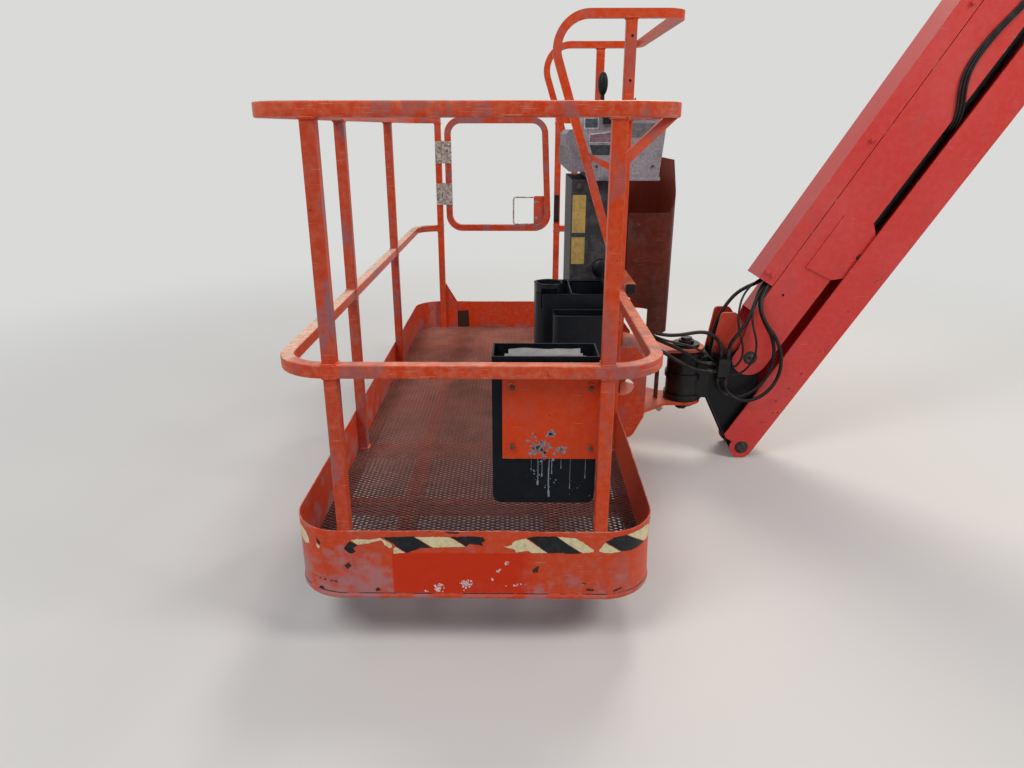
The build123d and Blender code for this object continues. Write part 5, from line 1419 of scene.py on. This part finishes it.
platform_routes = [
    [
        (column_face, -108, 238), (-528, -108, 238), (-503, -108, 230), (-482, -109, 214),
        (-466, -110, 190), (-451, -111, 163), (-430, -113, 137), (-396, -114, 115),
        (-346, -115, 103), (-294, -114, 103), (-248, -110, 110), (-212, -104, 113),
        (-184, -98, 109), (-160, -93, 98), (-141, -89, 81), (-127, -87, 61),
        (-119, -86, 41), (-119, -86, top_port),
    ],
    [
        (column_face, -88, 214), (-528, -88, 214), (-503, -88, 206), (-483, -89, 190),
        (-467, -91, 166), (-450, -94, 139), (-427, -98, 115), (-394, -102, 93), (-344, -105, 71),
        (-294, -106, 50), (-253, -102, 26), (-222, -95, 2), (-197, -87, -14), (-171, -82, -20),
        (side_port, -82, -20),
    ],
    [
        (column_face, -112, 212), (-528, -112, 212), (-504, -112, 203), (-485, -113, 186),
        (-471, -114, 162), (-459, -115, 133), (-441, -116, 105), (-413, -118, 77),
        (-371, -120, 51), (-326, -120, 24), (-282, -117, -4), (-240, -110, -27),
        (-202, -101, -41), (-173, -96, -46), (side_port, -96, -46),
    ],
]
hose_rubber, tree, shader, place = new_material("hydraulic_hose_rubber")
# the cover shows the cloth that it was cured in: ribs about 1.2 mm apart, drawn at 3 mm
cloth = add_node(tree, "TexWave", {"Vector": place["Object"], "Scale": 125.0, "Distortion": 1.5,
                                   "Detail": 1.0}, bands_direction="DIAGONAL")
dust = add_node(tree, "TexNoise", {"Vector": place["Object"], "Scale": 28.0, "Detail": 6.0})
dusty = add_node(tree, "MapRange", {"Value": dust, "From Min": 0.5, "From Max": 0.72})
colour = add_node(tree, "Mix", {"Factor": dusty, 6: "#07080C", 7: "#2A2826"}, data_type="RGBA")
feed(tree, shader, {"Base Color": colour, "Specular IOR Level": 0.35})
sheen = add_node(tree, "MapRange", {"Value": dust, "To Min": 0.30, "To Max": 0.6})
feed(tree, shader, {"Roughness": sheen})
relief = add_node(tree, "Bump", {"Height": cloth, "Strength": 0.35, "Distance": 0.0004})
feed(tree, shader, {"Normal": relief})


def from_link_pin(x, y, z):
    """A point in millimetres from the front link's upper pin."""
    return pivot + Vector((x, y, z)) / 1000


def hose_along(name, route, diameter=hose_diameter):
    """A hose whose line is a smooth curve with the route's points as control points."""
    curve = bpy.data.curves.new(name, "CURVE")
    curve.dimensions = "3D"
    curve.bevel_depth = diameter / 2
    curve.bevel_resolution = 5
    curve.resolution_u = 10
    spline = curve.splines.new("NURBS")
    spline.points.add(len(route) - 1)
    for point, place in zip(spline.points, route):
        point.co = (*from_link_pin(*place), 1)
    spline.order_u = 3
    spline.use_endpoint_u = True
    carrier = bpy.data.objects.new(name + "_line", curve)
    scene.collection.objects.link(carrier)
    bpy.context.view_layer.update()
    mesh = bpy.data.meshes.new_from_object(carrier.evaluated_get(bpy.context.evaluated_depsgraph_get()))
    bpy.data.objects.remove(carrier)
    mesh.name = name
    mesh.materials.clear()
    mesh.materials.append(hose_rubber)
    mesh.shade_smooth()
    hose = bpy.data.objects.new(name, mesh)
    scene.collection.objects.link(hose)
    return hose


for i, route in enumerate(arm_routes):
    hose = hose_along(f"arm_hose_{i + 1}", route)
    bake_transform(hose)
    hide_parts("arm_hoses")
for i, route in enumerate(platform_routes):
    hose = hose_along(f"platform_hose_{i + 1}", route)
    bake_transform(hose)
    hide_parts("platform_hoses")

# Cables: three thin ones in black PVC run with the hoses and hang a little looser. They
# feed the controls and the sensors on the link.
cable_diameter = 0.008
arm_cables = [
    [
        (79.5, -36, 337.6), (58, -38, 308), (30, -50, 280), (2, -70, 250), (-18, -96, 212),
        (-26, -116, 172), (-18, -128, 130), (-4, -130, 88), (2, -126, 44), (-6, -120, 0),
        (-30, -112, -40), (-62, -102, -62), (-96, -90, -60), (-122, -76, -46),
    ],
    [
        (79.5, 6, 337.6), (56, 4, 310), (18, -4, 292), (-20, -22, 268), (-50, -50, 236),
        (-66, -78, 194), (-70, -96, 150), (-62, -110, 108), (-48, -116, 64), (-44, -116, 18),
        (-62, -110, -22), (-94, -98, -36), (-122, -82, -30),
    ],
]
platform_cables = [
    [
        (column_face, -98, 226), (-528, -98, 226), (-502, -99, 220), (-480, -101, 200),
        (-462, -104, 172), (-444, -107, 146), (-420, -111, 122), (-384, -116, 98),
        (-336, -119, 82), (-290, -120, 72), (-250, -116, 62), (-214, -110, 46),
        (-184, -102, 26), (-158, -94, 6), (-138, -84, -10),
    ],
]
for i, route in enumerate(arm_cables):
    cable = hose_along(f"arm_cable_{i + 1}", route, cable_diameter)
    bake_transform(cable)
for i, route in enumerate(platform_cables):
    cable = hose_along(f"platform_cable_{i + 1}", route, cable_diameter)
    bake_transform(cable)

# Cylinder lines: three thin hoses leave the barrel between the arms, cross the near side of
# the upper arm under a black clamp, and enter it through a rubber grommet.
side_line = [
    (1022, -106, -22), (1029, -104, -56), (1062, -94, -71), (1095, -77, -75.5), (1126, -55, -75.5),
    (1158, -33, -75.5), (1198, -14, -75.5), (1245, -6, -75.5), (1300, -7, -75.5), (1360, -12, -75.5),
    (1430, -26, -75.5), (1490, -33, -75.5), (1556, -34, -75.5), (1590, -34, -73), (1596, -34, -58),
]
for k in range(3):
    route = [tuple(along_jib * (along - 7 * k) + over_jib * (over + 8.6 * k) + Vector((0, y, 0)))
             for along, over, y in side_line]
    line = hose_along(f"cylinder_line_{k + 1}", route, cable_diameter)
    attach(line, "upper_arm")
grommet_foot = pivot + along_jib * 1.586 + over_jib * -0.026 + Vector((0, -0.070, 0))
grommet = turned(grommet_foot, near_face, [(0, 0.024), (0.003, 0.024), (0.005, 0.021), (0.005, 0.002)], 32)
finished_mesh("line_grommet", grommet, grip_rubber, "upper_arm")
clamp_rim = [pivot + along_jib * a + over_jib * o + Vector((0, -0.0705, 0))
             for a, o in ((1.475, -0.052), (1.500, -0.052), (1.500, 0.002), (1.475, 0.002))]
finished_mesh("line_clamp", slab(clamp_rim, near_face, 0.0098, edge=0.002), grip_rubber,
              "upper_arm")

# Hose ends: zinc-plated steel ferrules, crimped on and black with oil, and the clamp of
# black moulded rubber that holds the arm's hoses side by side under its cover.
crimp = [(0, 0.0075), (0.001, 0.0092), (0.005, 0.0094), (0.006, 0.0087), (0.010, 0.0087), (0.011, 0.0093),
         (0.015, 0.0093), (0.016, 0.0087), (0.020, 0.0087), (0.021, 0.0092), (0.024, 0.0090), (0.025, 0.0072)]
link_ferrules = []
for route in arm_routes[1:] + platform_routes:
    port = from_link_pin(*route[-1])
    link_ferrules.append(turned(port, from_link_pin(*route[-2]) - port, crimp, 16))
oily_zinc = mottled_metal("oily_zinc_plate", "#3A3634", "#16161A", "#2A1C16", 0.35, 0.4, rusted=0.3)
finished_mesh("valve_ferrules", joined(link_ferrules), oily_zinc, "front_link")
column_ferrules = []
for route in platform_routes:
    gland = from_link_pin(*route[0])
    column_ferrules.append(turned(gland, from_link_pin(*route[1]) - gland, crimp, 16))
finished_mesh("column_ferrules", joined(column_ferrules), oily_zinc, "platform")
leave = (from_link_pin(58, 0, 306) - from_link_pin(79.5, 0, 337.6)).normalized()
over = leave.cross(Vector((0, 1, 0))).normalized()
clamp_middle = from_link_pin(79.5, -15, 337.6) + leave * 0.013
clamp_parts = []
for side in (-1, 1):
    rim = [clamp_middle + leave * a + Vector((0, y, 0)) + over * 0.0075 * side
           for a, y in ((-0.011, -0.046), (0.011, -0.046), (0.011, 0.046), (-0.011, 0.046))]
    clamp_parts.append(slab(rim, over * side, 0.005, edge=0.0015))
    for y in (-0.021, 0.010, 0.041):
        head = clamp_middle + Vector((0, y - 0.010, 0)) + over * 0.0125 * side
        clamp_parts.append(hex_bolt(head, over * side, 0.008, washer=False))
finished_mesh("arm_hose_clamp", joined(clamp_parts), grip_rubber, "upper_arm")
